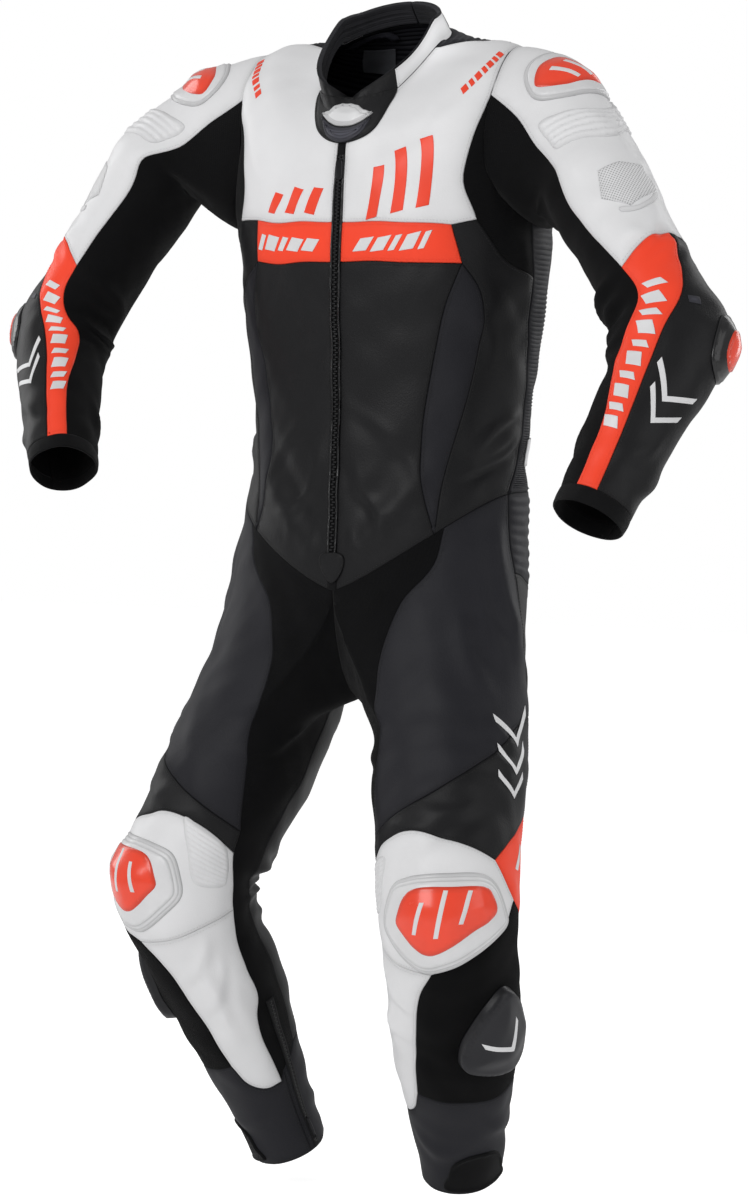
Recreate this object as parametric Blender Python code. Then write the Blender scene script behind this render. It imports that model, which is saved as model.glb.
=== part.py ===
"""One-piece leather race suit, filled out as worn, hollow and open at neck, cuffs and ankles.

Every panel is cut from one of five smooth surfaces: the torso, two sleeves and two legs. A place on
a surface is a pair: an angle round the body in degrees, and a station along it in millimetres. The
seams are short routes between named points, and a panel is the loop of seams round it, so two
panels that meet share their seam's points exactly. The left side is drawn, the right is mirrored.

Axes: +X is the wearer's left, -Y the wearer's front, +Z up. The origin is inside the neck, where the
wearer's shoulders carry the suit.
"""

import bmesh
import bpy
import numpy as np
from mathutils import Vector
from mathutils.geometry import delaunay_2d_cdt

MM = 0.001

LEATHER = 1.8  # wall of a leather panel
STRETCH = 1.4  # wall of an elastic panel
COLLAR_WALL = 3.0
LINING = 1.4
SEAM_GAP = 0.3
SEAM_STEP = 24.0  # length of one facet along a seam
LATTICE = 31.0  # spacing of the points inside a panel
EDGE_CLEAR = 13.0  # nearest that such a point comes to a seam
OVERLAY_LIFT = 1.2  # air between a cup, pad or tab and the panel under it
OVERLAY_STEP = 11.0

ZIP_HALF = 5.2
NECK_T = 0.0
WAIST_T = 560.0


def table(names, *rows):
    """Columns of a short table, each found by its name."""
    return dict(zip(names.split(), np.array(rows, float).T))


def smooth(columns, name, at):
    """A smooth curve through one column, read at stations of the table's first column."""
    stations = next(iter(columns.values()))
    values = columns[name]
    slopes = np.gradient(values, stations)
    at = np.clip(np.asarray(at, float), stations[0], stations[-1])
    i = np.clip(np.searchsorted(stations, at, side="right") - 1, 0, len(stations) - 2)
    span = stations[i + 1] - stations[i]
    w = (at - stations[i]) / span
    start = (1 + 2 * w) * (1 - w) ** 2 * values[i] + w * (1 - w) ** 2 * span * slopes[i]
    end = w * w * (3 - 2 * w) * values[i + 1] + w * w * (w - 1) * span * slopes[i + 1]
    return start + end


def unit(vectors):
    vectors = np.asarray(vectors, float)
    return vectors / np.linalg.norm(vectors, axis=-1, keepdims=True)


def ease(x):
    """0 to 1 along a smooth step."""
    x = np.clip(x, 0, 1)
    return x * x * (3 - 2 * x)


def hermite(start, start_slope, end, end_slope, w):
    w = w[..., None]
    near = start * (1 + 2 * w) * (1 - w) ** 2 + start_slope * w * (1 - w) ** 2
    return near + end * w * w * (3 - 2 * w) + end_slope * w * w * (w - 1)


# ---------------------------------------------------------------- the torso's surface

TORSO = table(
    "t    half shift turned front back z_front z_side z_back power vee straight",
    (0, 67, 0, 9, -104, 56, -74, 14, 41, 2.0, 2.0, 1.0),  # neck seam
    (40, 106, 0, 10, -111, 78, -100, 14, 20, 2.05, 2.0, 0.6),
    (80, 146, 0, 9, -115, 96, -124, 10, -12, 2.15, 2.0, 0.2),
    (120, 178, 0, 8.5, -118, 108, -152, -12, -50, 2.3, 2.0, 0.0),  # shoulder point
    (165, 187, 0, 7, -118, 114, -186, -98, -112, 2.35, 2.0, 0.0),
    (215, 184, 0, 4.5, -117, 115, -226, -190, -190, 2.35, 2.0, 0.0),  # armpit
    (270, 179, 0, 2, -114, 111, -278, -262, -262, 2.3, 2.0, 0.0),
    (350, 168, 1, 0, -110, 101, -354, -345, -342, 2.25, 2.0, 0.0),  # waist
    (430, 162, 0, 0, -112, 92, -432, -410, -405, 2.2, 1.8, 0.0),
    (500, 162, -5, 0, -116, 92, -505, -446, -440, 2.2, 1.5, 0.0),
    (560, 168, -9, 0, -118, 98, -578, -474, -468, 2.2, 1.3, 0.0),  # waist seam, a V in front
)
# turned moves a ring's front towards the wearer's left, as in the turned body. straight is 1 where
# a ring falls evenly from back to front, as the neckline does.


SHOULDER_TILT = 0.045  # the left shoulder is held a little lower
TILT_END, TILT_OVER = 300.0, 180.0


def torso(angle, t):
    """A ring round the body: 0 is the front, 90 the wearer's left, 180 the back."""
    c = np.cos(np.radians(angle))
    s = np.sin(np.radians(angle))
    power = smooth(TORSO, "power", t)
    k = (np.abs(c) ** power + np.abs(s) ** power) ** (-1 / power)
    depth = np.where(c > 0, smooth(TORSO, "front", t), -smooth(TORSO, "back", t))
    side = smooth(TORSO, "z_side", t)
    straight = smooth(TORSO, "straight", t)
    level = (np.sqrt(c * c + 0.01) - 0.1) / 0.905
    bowed = 1 - np.abs(s) ** smooth(TORSO, "vee", t)
    front = side + (smooth(TORSO, "z_front", t) - side) * (bowed + (level - bowed) * straight)
    back = side + (smooth(TORSO, "z_back", t) - side) * (c * c + (level - c * c) * straight)
    across = smooth(TORSO, "half", t) * k * s + smooth(TORSO, "shift", t) * s * s
    across = across + smooth(TORSO, "turned", t) * np.clip(c, 0, 1) ** 2
    parts = (across, depth * k * c, np.where(c > 0, front, back))
    rings = np.stack(np.broadcast_arrays(*parts), -1)
    fade = ease((TILT_END - np.broadcast_to(t, rings.shape[:-1])) / TILT_OVER)
    rings[..., 2] -= SHOULDER_TILT * rings[..., 0] * fade
    return rings


# ---------------------------------------------------------------- sleeves and legs

POSE_ROWS = (  # joints of the held pose, x y z; twist turns the lower length about itself, in degrees
    # limb        root               bend                end                  twist
    ("arm_left", (220, -18, -86), (403, -88, -310), (366, -206, -490), 0),
    ("arm_right", (-248, -18, -38), (-408, -88, -304), (-298, -205, -472), 42),
    ("leg_left", (88, -10, -600), (175, -165, -905), (107, -29, -1213), 0),
    ("leg_right", (-102, -10, -600), (-180, -163, -905), (-125, -38, -1190), 0),
)
POSE = {
    limb: {"root": root, "bend": bend, "end": end, "twist": twist}
    for limb, root, bend, end, twist in POSE_ROWS
}
BEND_ROUND = 50.0  # how far either side of the joint the bend is spread
TWIST_FROM, TWIST_OVER = 150.0, 250.0

ARM = table(
    "s  outer front inner back",
    (0, 70, 66, 66, 68),
    (60, 62, 61, 59, 62),
    (130, 55, 56, 54, 58),
    (200, 51, 53, 51, 54),
    (260, 56, 52, 51, 54),
    (300, 69, 52, 49, 54),  # elbow
    (350, 60, 49, 46, 51),
    (410, 49, 45, 42, 46),
    (470, 43, 41, 39, 42),
    (530, 38, 38, 36, 38),
)
LEG = table(
    "s  front outer back inner",
    (0, 98, 92, 104, 86),
    (100, 88, 88, 97, 88),
    (180, 79, 83, 90, 85),
    (260, 74, 77, 80, 79),
    (310, 80, 74, 74, 73),
    (355, 85, 74, 70, 72),  # knee
    (410, 72, 72, 68, 67),
    (470, 62, 73, 72, 66),
    (530, 55, 68, 64, 62),
    (590, 48, 58, 51, 55),
    (650, 43, 50, 44, 46),
    (700, 40, 46, 41, 42),
)
HIP_LEAVING = table(  # which way, and how far, the leg's cloth runs on from its top seam
    "turn outer rear up reach",
    (-50, 0.0, 0.0, -1.0, 0.90),
    (0, 0.06, 0.0, -1.0, 0.90),
    (60, 0.10, 0.0, -1.0, 0.90),
    (120, 0.0, 0.0, -1.0, 0.90),
    (170, 0.10, 0.30, -1.0, 0.95),
    (200, 0.35, 0.35, -0.9, 1.00),
    (215, 0.55, 0.45, -0.8, 1.05),
    (230, 0.80, 0.50, -0.6, 1.10),
    (242, 1.0, 0.45, -0.35, 0.90),
    (262, 1.0, 0.25, -0.25, 0.60),
    (280, 1.0, 0.0, -0.28, 0.46),
    (290, 0.85, 0.0, -0.37, 0.52),
    (300, 0.6, 0.0, -0.55, 0.62),
    (310, 0.0, 0.0, -1.0, 0.90),
)
CAP = {"arm": 100.0, "leg": 200.0}  # length over which the seam's shape becomes the tube's
CUFF_S, ARM_END = 502.0, 520.0
LEG_END = 690.0

ARMHOLE = {"angle": 92.0, "half_angle": 38.0, "top": 96.0, "low": 213.0}
CROTCH_START, CROTCH_END = 230.0, 310.0
CROTCH = table(  # the seam between the legs, from the waist behind to the waist in front
    "turn y z",
    (230, 98, -468),
    (239, 96, -518),
    (247, 84, -562),
    (255, 58, -604),
    (264, 22, -643),
    (273, -18, -676),
    (280, -48, -696),
    (287, -76, -694),
    (294, -98, -667),
    (301, -111, -628),
    (310, -118, -578),
)
CROTCH_SPREAD = 3.2


def side_of(name):
    return -1 if name.endswith("right") else 1


def tube(name, angle, s):
    """A bent tube. Angle 0 is the elbow's or knee's side of it; 90 is an arm's front, a leg's outer side."""
    pose = POSE[name]
    columns = ARM if name.startswith("arm") else LEG
    root, bend, end = (np.array(pose[key], float) for key in ("root", "bend", "end"))
    upper, lower = unit(bend - root), unit(end - bend)
    x = s - np.linalg.norm(bend - root)
    r = np.hypot(x, BEND_ROUND)
    centre = bend + upper * ((x - r) / 2)[..., None] + lower * ((x + r) / 2)[..., None]
    along = unit(upper * ((1 - x / r) / 2)[..., None] + lower * ((1 + x / r) / 2)[..., None])
    out = unit(np.cross(along, np.cross(upper, lower)))
    out = out * np.sign(out.reshape(-1, 3)[0] @ (bend - (root + end) / 2))
    across = np.cross(along, out)
    wanted = (0, -1, 0) if name.startswith("arm") else (side_of(name), 0, 0)
    across = across * np.sign(across.reshape(-1, 3)[0] @ np.array(wanted, float))
    turn = pose["twist"] * ease((s - TWIST_FROM) / TWIST_OVER)
    c = np.cos(np.radians(angle + turn))
    a = np.sin(np.radians(angle + turn))
    first, second, third, fourth = list(columns)[1:]
    wide = np.where(c > 0, smooth(columns, first, s), smooth(columns, third, s)) * c
    deep = np.where(a > 0, smooth(columns, second, s), smooth(columns, fourth, s)) * a
    return centre + out * wide[..., None] + across * deep[..., None], along


def armhole_place(phi):
    """Where the armhole seam lies on the torso: phi 0 at the top, 90 in front, 180 below."""
    p = np.radians(phi)
    middle = (ARMHOLE["top"] + ARMHOLE["low"]) / 2
    reach = (ARMHOLE["low"] - ARMHOLE["top"]) / 2
    return ARMHOLE["angle"] - ARMHOLE["half_angle"] * np.sin(p), middle - reach * np.cos(p)


def sleeve(name, phi, s):
    """The sleeve from the armhole seam, s 0, to the cuff."""
    side = side_of(name)
    phi, s = np.broadcast_arrays(np.asarray(phi, float), np.asarray(s, float))
    body, _ = tube(name, phi, s)
    angle, t = armhole_place(phi)
    seam = torso(side * angle, t)
    ring, along = tube(name, phi, np.full_like(s, CAP["arm"]))
    top = (1 + np.cos(np.radians(phi))) / 2
    leaving = unit(np.stack([side * (0.62 + 0.38 * top), np.full_like(top, -0.05), 0.62 * top - 0.70], -1))
    reach = np.linalg.norm(ring - seam, axis=-1)
    cap = hermite(
        seam,
        leaving * (reach * (0.9 + 0.35 * top))[..., None],
        ring,
        along * (reach * (1.0 + 0.15 * top))[..., None],
        np.clip(s / CAP["arm"], 0, 1),
    )
    return np.where((s < CAP["arm"])[..., None], cap, body)


def waist_angle(phi):
    """The torso angle above a leg's angle on the waist seam."""
    return (phi + 50.0) * 180.0 / 280.0


def leg_seam(side, phi):
    """A leg's top edge: half of the waist seam, then the crotch seam from back to front."""
    phi = (phi + 50.0) % 360.0 - 50.0
    outer = torso(side * np.clip(waist_angle(phi), 0, 180), WAIST_T)
    y, z = smooth(CROTCH, "y", phi), smooth(CROTCH, "z", phi)
    inner = np.stack([np.zeros_like(y), y, z], -1)
    return np.where((phi < CROTCH_START)[..., None], outer, inner)


def leg(name, phi, s):
    """The leg from the waist and crotch seam, s 0, to the ankle hem."""
    side = side_of(name)
    phi, s = np.broadcast_arrays(np.asarray(phi, float), np.asarray(s, float))
    body, _ = tube(name, phi, s)
    seam = leg_seam(side, phi)
    ring, along = tube(name, phi, np.full_like(s, CAP["leg"]))
    turn = (phi + 50.0) % 360.0 - 50.0
    outer, rear, up = (smooth(HIP_LEAVING, column, turn) for column in ("outer", "rear", "up"))
    leaving = unit(np.stack([side * outer, rear, up], -1))
    reach = np.linalg.norm(ring - seam, axis=-1)
    cap = hermite(
        seam,
        leaving * (reach * smooth(HIP_LEAVING, "reach", turn))[..., None],
        ring,
        along * (reach * 0.9)[..., None],
        np.clip(s / CAP["leg"], 0, 1),
    )
    return np.where((s < CAP["leg"])[..., None], cap, body)


# ---------------------------------------------------------------- large folds

# A soft ridge, or a trough where the height is below 0, from one place to another.
TORSO_FOLDS = (
    # angle  t   angle  t  height width
    (8, 540, 40, 470, 3.5, 16),
    (6, 520, 34, 420, -3.0, 15),
    (62, 470, 88, 415, 3.5, 15),
    (60, 500, 90, 452, -3.5, 15),
    (58, 232, 84, 300, -3.5, 16),
    (126, 420, 180, 450, 3.5, 16),
    (120, 370, 170, 395, -3.5, 16),
    (128, 300, 150, 360, 3.0, 18),
)
ARM_FOLDS = (
    (120, 235, 205, 255, 4.0, 14),
    (110, 275, 215, 290, -4.5, 14),
    (125, 318, 210, 318, 4.0, 14),
    (150, 60, 205, 90, 3.5, 16),
    (250, 120, 300, 190, 3.0, 16),
)
LEG_FOLDS = (
    (60, 40, 80, 150, 3.5, 18),
    (30, 60, 44, 150, -3.0, 18),
    (-30, 240, 50, 235, 3.5, 15),
    (120, 330, 240, 330, -6.0, 15),
    (125, 296, 235, 300, 4.5, 15),
    (125, 368, 235, 372, 4.5, 15),
    (150, 110, 220, 70, 4.0, 20),
    (-60, 430, -85, 540, 3.0, 16),
    (160, 590, 240, 600, 3.0, 15),
)
FOLD_FADE = 45.0  # folds die out this near to a border between surfaces
DEGREE = {"torso": 2.6, "arm": 0.98, "leg": 1.35}  # millimetres of cloth to a degree


def kind_of(surface):
    return surface.split("_")[0]


def fold_height(surface, u, v):
    """How far the large folds move a place outwards."""
    kind = kind_of(surface)
    folds = {"torso": TORSO_FOLDS, "arm": ARM_FOLDS, "leg": LEG_FOLDS}[kind]
    height = np.zeros(np.broadcast(u, v).shape)
    for u0, v0, u1, v1, rise, width in folds:
        turns = np.round((np.asarray(u) - (u0 + u1) / 2) / 360.0) * 360.0
        x = (u - turns - u0) * DEGREE[kind]
        y = v - v0
        along = np.array([(u1 - u0) * DEGREE[kind], v1 - v0])
        length = np.linalg.norm(along)
        p = np.clip((x * along[0] + y * along[1]) / length**2, 0, 1)
        apart = np.hypot(x - p * along[0], y - p * along[1])
        height = height + rise * np.exp(-((apart / width) ** 2)) * np.sin(np.pi * (0.12 + 0.76 * p))
    if kind == "torso":
        return height * ease((WAIST_T - v) / FOLD_FADE) * ease(v / FOLD_FADE)
    return height * ease(v / FOLD_FADE)


def base_point(surface, u, v):
    if surface.startswith("torso"):
        return torso(side_of(surface) * np.asarray(u, float), np.asarray(v, float))
    return (sleeve if surface.startswith("arm") else leg)(surface, u, v)


def outward(surface, u, v):
    """Unit normals of the surface before its folds."""
    u, v = np.broadcast_arrays(np.asarray(u, float), np.asarray(v, float))
    low = {"torso": NECK_T, "arm": 0.0, "leg": 0.0}[kind_of(surface)]
    high = {"torso": WAIST_T, "arm": ARM_END, "leg": LEG_END}[kind_of(surface)]
    across = base_point(surface, u + 0.5, v) - base_point(surface, u - 0.5, v)
    below, above = np.clip(v + 1, low, high), np.clip(v - 1, low, high)
    down = base_point(surface, u, below) - base_point(surface, u, above)
    way = -side_of(surface) if surface.startswith("arm") else side_of(surface)
    return unit(np.cross(down, across)) * way


def place(surface, u, v, lift=0.0):
    """Points of the folded surface, moved out by lift, and the directions in which a wall is deep."""
    normal = outward(surface, u, v)
    lift = np.asarray(lift) + fold_height(surface, u, v)
    return base_point(surface, u, v) + normal * lift[..., None], normal


# ---------------------------------------------------------------- seams

def zip_angle(t):
    return float(np.degrees(np.arcsin(ZIP_HALF / smooth(TORSO, "half", t))))


NECK_STOPS = (0.0, zip_angle(NECK_T), 80.0, 180.0)
WAIST_STOPS = (0.0, zip_angle(WAIST_T), 42.0, 46.3, 82.0, 112.0, 180.0)
ARMHOLE_STOPS = (-70.0, -60.0, -25.0, 58.0, 168.0, 215.0, 290.0, 300.0)
ARMHOLE_AT = {  # the torso's seam ends on the armhole's ring, in degrees round it
    "shoulder": -25.0,
    "chest_top": 58.0,
    "armpit_front": 168.0,
    "armpit_rear": 215.0,
    "blade": 290.0,
}
CROTCH_STOPS = (230.0, 238.0, 262.0, 310.0)


def hip_angle(angle):
    """The leg's angle under a torso angle on the waist seam."""
    return angle * 280.0 / 180.0 - 50.0


TORSO_POINTS = {
    "neck_zip": (zip_angle(NECK_T), NECK_T),
    "chest_zip": (zip_angle(167.0), 167.0),
    "band_zip": (zip_angle(219.0), 219.0),
    "waist_zip": (zip_angle(WAIST_T), WAIST_T),
    "neck_side": (80.0, NECK_T),
    "neck_back": (180.0, NECK_T),
    "shoulder": armhole_place(-25.0),
    "chest_top": armhole_place(58.0),
    "armpit_front": armhole_place(168.0),
    "armpit_rear": armhole_place(215.0),
    "blade": armhole_place(290.0),
    "chest_corner": (52.0, 201.0),
    "band_top": (42.0, 199.0),
    "band_low": (47.0, 236.0),
    "flank_top": (88.0, 256.0),
    "waist_front": (42.0, WAIST_T),
    "waist_side": (82.0, WAIST_T),
    "waist_rear": (112.0, WAIST_T),
    "waist_back": (180.0, WAIST_T),
    "yoke_back": (180.0, 168.0),
}
RIGHT_POINTS = {"band_top": (36.0, 189.0), "band_low": (37.0, 227.0), "chest_corner": (49.0, 198.0)}
TORSO_SEAMS = {
    "neck_front": ("neck_zip", "neck", "neck_side"),
    "neck_rear": ("neck_side", "neck", "neck_back"),
    "zip_chest": ("neck_zip", "zip", "chest_zip"),
    "zip_band": ("chest_zip", "zip", "band_zip"),
    "zip_front": ("band_zip", "zip", "waist_zip"),
    "shoulder_seam": ("neck_side", (88, 40), (98, 72), "shoulder"),
    "armhole_chest": ("shoulder", "armhole", "chest_top"),
    "armhole_side": ("chest_top", "armhole", "armpit_front"),
    "armhole_flank": ("armpit_front", "armhole", "armpit_rear"),
    "armhole_back": ("armpit_rear", "armhole", "blade"),
    "armhole_yoke": ("blade", "armhole", "shoulder"),
    "chest_edge": ("chest_top", (50, 142), (46, 163), "chest_corner"),
    "chest_hem": ("band_top", "chest_corner"),
    "band_head": ("chest_zip", (13, 171), (25, 183), "band_top"),
    "band_end": ("band_top", "band_low"),
    "band_foot": ("band_zip", (13, 220), (25, 226), "band_low"),
    "front_seam": ("band_low", (42, 271), (39, 322), (36, 455), "waist_front"),
    "leaf_seam": ("band_low", (56, 268), (58, 290), (57, 326), (49, 440), "waist_front"),
    "gusset_seam": ("chest_corner", (67, 238), "flank_top"),
    "flank_upper": ("armpit_front", "flank_top"),
    "flank_lower": ("flank_top", (89, 310), (93, 366), (94, 445), (89, 510), "waist_side"),
    "flank_rear": ("armpit_rear", (116, 260), (113, 350), (113, 450), "waist_rear"),
    "yoke_seam": ("blade", (145, 150), "yoke_back"),
    "waist_center": ("waist_zip", "waist", "waist_front"),
    "waist_hip": ("waist_front", "waist", "waist_side"),
    "waist_flank": ("waist_side", "waist", "waist_rear"),
    "waist_seat": ("waist_rear", "waist", "waist_back"),
}
TORSO_PANELS = {
    "chest": "zip_chest neck_front shoulder_seam armhole_chest chest_edge chest_hem band_head",
    "band": "zip_band band_head band_end band_foot",
    "front": "zip_front band_foot front_seam waist_center",
    "leaf": "front_seam leaf_seam",
    "side_front": "band_end chest_hem gusset_seam flank_lower waist_hip leaf_seam",
    "side_stretch": "chest_edge armhole_side flank_upper gusset_seam",
    "flank": "armhole_flank flank_rear waist_flank flank_lower flank_upper",
}

ARM_POINTS = {
    "cap_front": (58.0, 0.0),
    "cap_rear": (-60.0, 0.0),
    "stripe_head": (113.0, 232.0),
    "stripe_back": (38.0, 206.0),
    "sleeve_rear": (-60.0, 248.0),
    "cuff_inner": (108.0, CUFF_S),
    "cuff_outer": (74.0, CUFF_S),
    "cuff_rear": (-60.0, CUFF_S),
    "end_rear": (-60.0, ARM_END),
    "cuff_rear_again": (300.0, CUFF_S),
    "end_rear_again": (300.0, ARM_END),
}
ARM_SEAMS = {
    "cap_outer": ("cap_rear", "armhole", "cap_front"),
    "cap_inner": ("cap_front", "armhole", "cap_rear_again"),
    "sleeve_front": (
        "cap_front", (68, 22), (90, 48), (121, 82), (134, 118), (131, 160), (123, 196), "stripe_head",
    ),
    "sleeve_foot": ("stripe_head", (80, 216), "stripe_back"),
    "elbow_head": ("stripe_back", (0, 214), (-30, 234), "sleeve_rear"),
    "sleeve_back": ("cap_rear", (-60, 120), "sleeve_rear"),
    "forearm_back": ("sleeve_rear", (-62, 380), "cuff_rear"),
    "stripe_inner": (
        "stripe_head", (106, 268), (118, 305), (131, 345), (124, 385), (112, 425), (108, 470),
        "cuff_inner",
    ),
    "stripe_outer": ("stripe_back", (46, 245), (56, 268), (79, 315), (82, 360), (78, 430), "cuff_outer"),
    "cuff_forearm": ("cuff_rear", "ring", "cuff_outer"),
    "cuff_stripe": ("cuff_outer", "ring", "cuff_inner"),
    "cuff_sleeve": ("cuff_inner", "ring", "cuff_rear_again"),
    "end_ring": ("end_rear", "ring", "end_rear_again"),
    "cuff_open": ("cuff_rear", "end_rear"),
    "cuff_close": ("cuff_rear_again", "end_rear_again"),
}
ARM_POINTS["cap_rear_again"] = (300.0, 0.0)
ARM_PANELS = {
    "sleeve_outer": "cap_outer sleeve_front sleeve_foot elbow_head sleeve_back",
    "sleeve_inner": "cap_inner sleeve_front stripe_inner cuff_sleeve forearm_back sleeve_back",
    "sleeve_stripe": "sleeve_foot stripe_inner cuff_stripe stripe_outer",
    "forearm": "elbow_head forearm_back cuff_forearm stripe_outer",
    "cuff": "cuff_forearm cuff_stripe cuff_sleeve cuff_close end_ring cuff_open",
}

LEG_POINTS = {
    "front_centre": (-50.0, 0.0),
    "stretch_top": (hip_angle(46.3), 0.0),
    "hip": (hip_angle(82.0), 0.0),
    "back_centre": (230.0, 0.0),
    "seat_top": (238.0, 0.0),
    "crotch_rear": (262.0, 0.0),
    "lumbar_low": (79.0, 58.0),
    "thigh_side": (96.0, 150.0),
    "flash_side": (100.0, 236.0),
    "flash_tip": (46.0, 306.0),
    "knee_side": (100.0, 358.0),
    "knee_outer": (72.0, 338.0),
    "knee_low": (-10.0, 389.0),
    "knee_inner": (-102.0, 374.0),
    "thigh_inner": (-88.0, 274.0),
    "knee_top": (-91.0, 299.0),
    "shin_foot": (-38.0, 553.0),
    "white_foot": (-90.0, 592.0),
    "side_foot": (98.0, 560.0),
    "calf_foot": (232.0, 562.0),
    "zip_head": (263.0, 582.0),
    "zip_hem": (265.0, LEG_END),
    "zip_head_again": (-97.0, 582.0),
    "zip_hem_again": (-95.0, LEG_END),
}
LEG_SEAMS = {
    "top_inner": ("front_centre", "waist", "stretch_top"),
    "top_front": ("stretch_top", "waist", "hip"),
    "top_seat": ("hip", "waist", "back_centre"),
    "crotch_lumbar": ("back_centre", "crotch", "seat_top"),
    "crotch_seat": ("seat_top", "crotch", "crotch_rear"),
    "crotch_inner": ("crotch_rear", "crotch", "front_centre"),
    "lumbar_front": ("hip", (76, 30), "lumbar_low"),
    "lumbar_foot": ("lumbar_low", (150, 62), (205, 52), (228, 34), "seat_top"),
    "side_upper": ("lumbar_low", (88, 108), "thigh_side"),
    "side_thigh": ("thigh_side", "flash_side"),
    "side_flash": ("flash_side", (101, 300), "knee_side"),
    "side_shin": ("knee_side", (100, 450), "side_foot"),
    "stretch_seam": (
        "stretch_top", (14, 26), (-9, 46), (-26, 78), (-46, 131), (-64, 190), (-79, 246), "thigh_inner",
    ),
    "stretch_knee": ("thigh_inner", "knee_top"),
    "thigh_seam": ("thigh_side", (58, 172), (35, 200), (-14, 248), (-55, 266), "thigh_inner"),
    "flash_edge": ("flash_side", (72, 270), "flash_tip"),
    "knee_arc": ("knee_top", (-62, 286), (-28, 282), (5, 292), "flash_tip"),
    "knee_corner": ("flash_tip", (59, 322), "knee_outer"),
    "flash_foot": ("knee_outer", "knee_side"),
    "knee_foot": ("knee_outer", (55, 360), (22, 374), "knee_low"),
    "knee_shin": ("knee_low", (-50, 388), "knee_inner"),
    "knee_back": ("knee_top", (-101, 338), "knee_inner"),
    "white_inner": ("knee_inner", (-97, 450), (-97, 490), (-91, 502), "white_foot"),
    "white_outer": ("knee_low", (-21, 409), (-30, 464), "shin_foot"),
    "white_end": ("shin_foot", (-46, 576), (-64, 590), "white_foot"),
    "patch_foot": ("shin_foot", (40, 562), "side_foot"),
    "calf_end": ("side_foot", (160, 556), "calf_foot"),
    "inner_end": ("calf_foot", "zip_head"),
    "inner_end_front": ("zip_head_again", "white_foot"),
    "back_seam": ("crotch_rear", (252, 60), (244, 140), (240, 250), (236, 330), (234, 420), "calf_foot"),
    "ankle_open": ("zip_head", "zip_hem"),
    "ankle_close": ("zip_head_again", "zip_hem_again"),
    "hem": ("zip_hem_again", "ring", "zip_hem"),
}
LEG_PANELS = {
    "lumbar_ribs": "top_seat crotch_lumbar lumbar_foot lumbar_front",
    "thigh_front": "top_front lumbar_front side_upper thigh_seam stretch_seam",
    "thigh_lower": "thigh_seam side_thigh flash_edge knee_arc stretch_knee",
    "knee_flash": "flash_edge side_flash flash_foot knee_corner",
    "knee": "knee_arc knee_corner knee_foot knee_shin knee_back",
    "shin_white": "knee_shin white_outer white_end white_inner",
    "shin_patch": "knee_foot flash_foot side_shin patch_foot white_outer",
    "leg_back": "lumbar_foot crotch_seat back_seam calf_end side_shin side_flash side_thigh side_upper",
    "leg_inner": "top_inner stretch_seam stretch_knee knee_back white_inner inner_end_front inner_end"
    " back_seam crotch_inner",
    "ankle": "patch_foot calf_end inner_end ankle_open hem ankle_close inner_end_front white_end",
}
SAME_POINT = {"zip_head_again": "zip_head", "cap_rear_again": "cap_rear", "cuff_rear_again": "cuff_rear"}


def stops_between(stops, start, end, step):
    """Angles from start to end that pass every stop between them."""
    low, high = min(start, end), max(start, end)
    kept = [low] + [stop for stop in stops if low + 0.01 < stop < high - 0.01] + [high]
    angles = [low]
    for a, b in zip(kept, kept[1:]):
        count = max(1, int(np.ceil((b - a) / step)))
        angles += [a + (b - a) * (k + 1) / count for k in range(count)]
    return angles if start < end else angles[::-1]


def spline(points, scale, step):
    """Places along a smooth curve through points, about a step apart; the flat sizes use scale."""
    points = np.array(points, float)
    flat = points * (scale, 1)
    steps = np.linalg.norm(np.diff(flat, axis=0), axis=1)
    length = np.concatenate([[0], np.cumsum(steps)])
    if len(points) == 2:
        slopes = np.diff(points, axis=0) / length[-1]
        slopes = np.vstack([slopes, slopes])
    else:
        slopes = np.gradient(points, length, axis=0)
    count = max(1, int(np.ceil(length[-1] / step)))
    at = np.linspace(0, length[-1], count + 1)
    i = np.clip(np.searchsorted(length, at, side="right") - 1, 0, len(points) - 2)
    span = (length[i + 1] - length[i])[:, None]
    w = ((at - length[i]) / span[:, 0])
    return hermite(points[i], slopes[i] * span, points[i + 1], slopes[i + 1] * span, w)


def seam_places(kind, points, route):
    """The places along one seam, and which border between surfaces it lies on, if any."""
    start, end = points[route[0]], points[route[-1]]
    border = route[1] if isinstance(route[1], str) and len(route) == 3 else None
    if border == "neck":
        return [(a, NECK_T) for a in stops_between(NECK_STOPS, start[0], end[0], 18.0)], border
    if border == "waist" and kind == "torso":
        return [(a, WAIST_T) for a in stops_between(WAIST_STOPS, start[0], end[0], 9.0)], border
    if border == "waist":
        stops = stops_between(WAIST_STOPS, waist_angle(start[0]), waist_angle(end[0]), 9.0)
        return [(hip_angle(a), 0.0) for a in stops], border
    if border == "crotch":
        first = start[0]
        last = end[0] if end[0] > 200 else end[0] + 360
        return [(a, 0.0) for a in stops_between(CROTCH_STOPS, first, last, 5.0)], border
    if border == "armhole" and kind == "arm":
        return [(a, 0.0) for a in stops_between(ARMHOLE_STOPS, start[0], end[0], 16.0)], border
    if border == "armhole":
        first, last = ARMHOLE_AT[route[0]], ARMHOLE_AT[route[-1]]
        last = last + 360 if last < first - 180 else last
        stops = ARMHOLE_STOPS + (335.0,)
        return [armhole_place(a) for a in stops_between(stops, first, last, 16.0)], border
    if border == "ring":
        return [(a, start[1]) for a in stops_between((74.0, 108.0), start[0], end[0], 24.0)], None
    if border == "zip":
        count = max(1, int(np.ceil((end[1] - start[1]) / SEAM_STEP)))
        return [(zip_angle(t), t) for t in np.linspace(start[1], end[1], count + 1)], None
    vias = [points[via] if isinstance(via, str) else via for via in route]
    return [tuple(p) for p in spline(vias, DEGREE[kind], SEAM_STEP)], None


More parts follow.
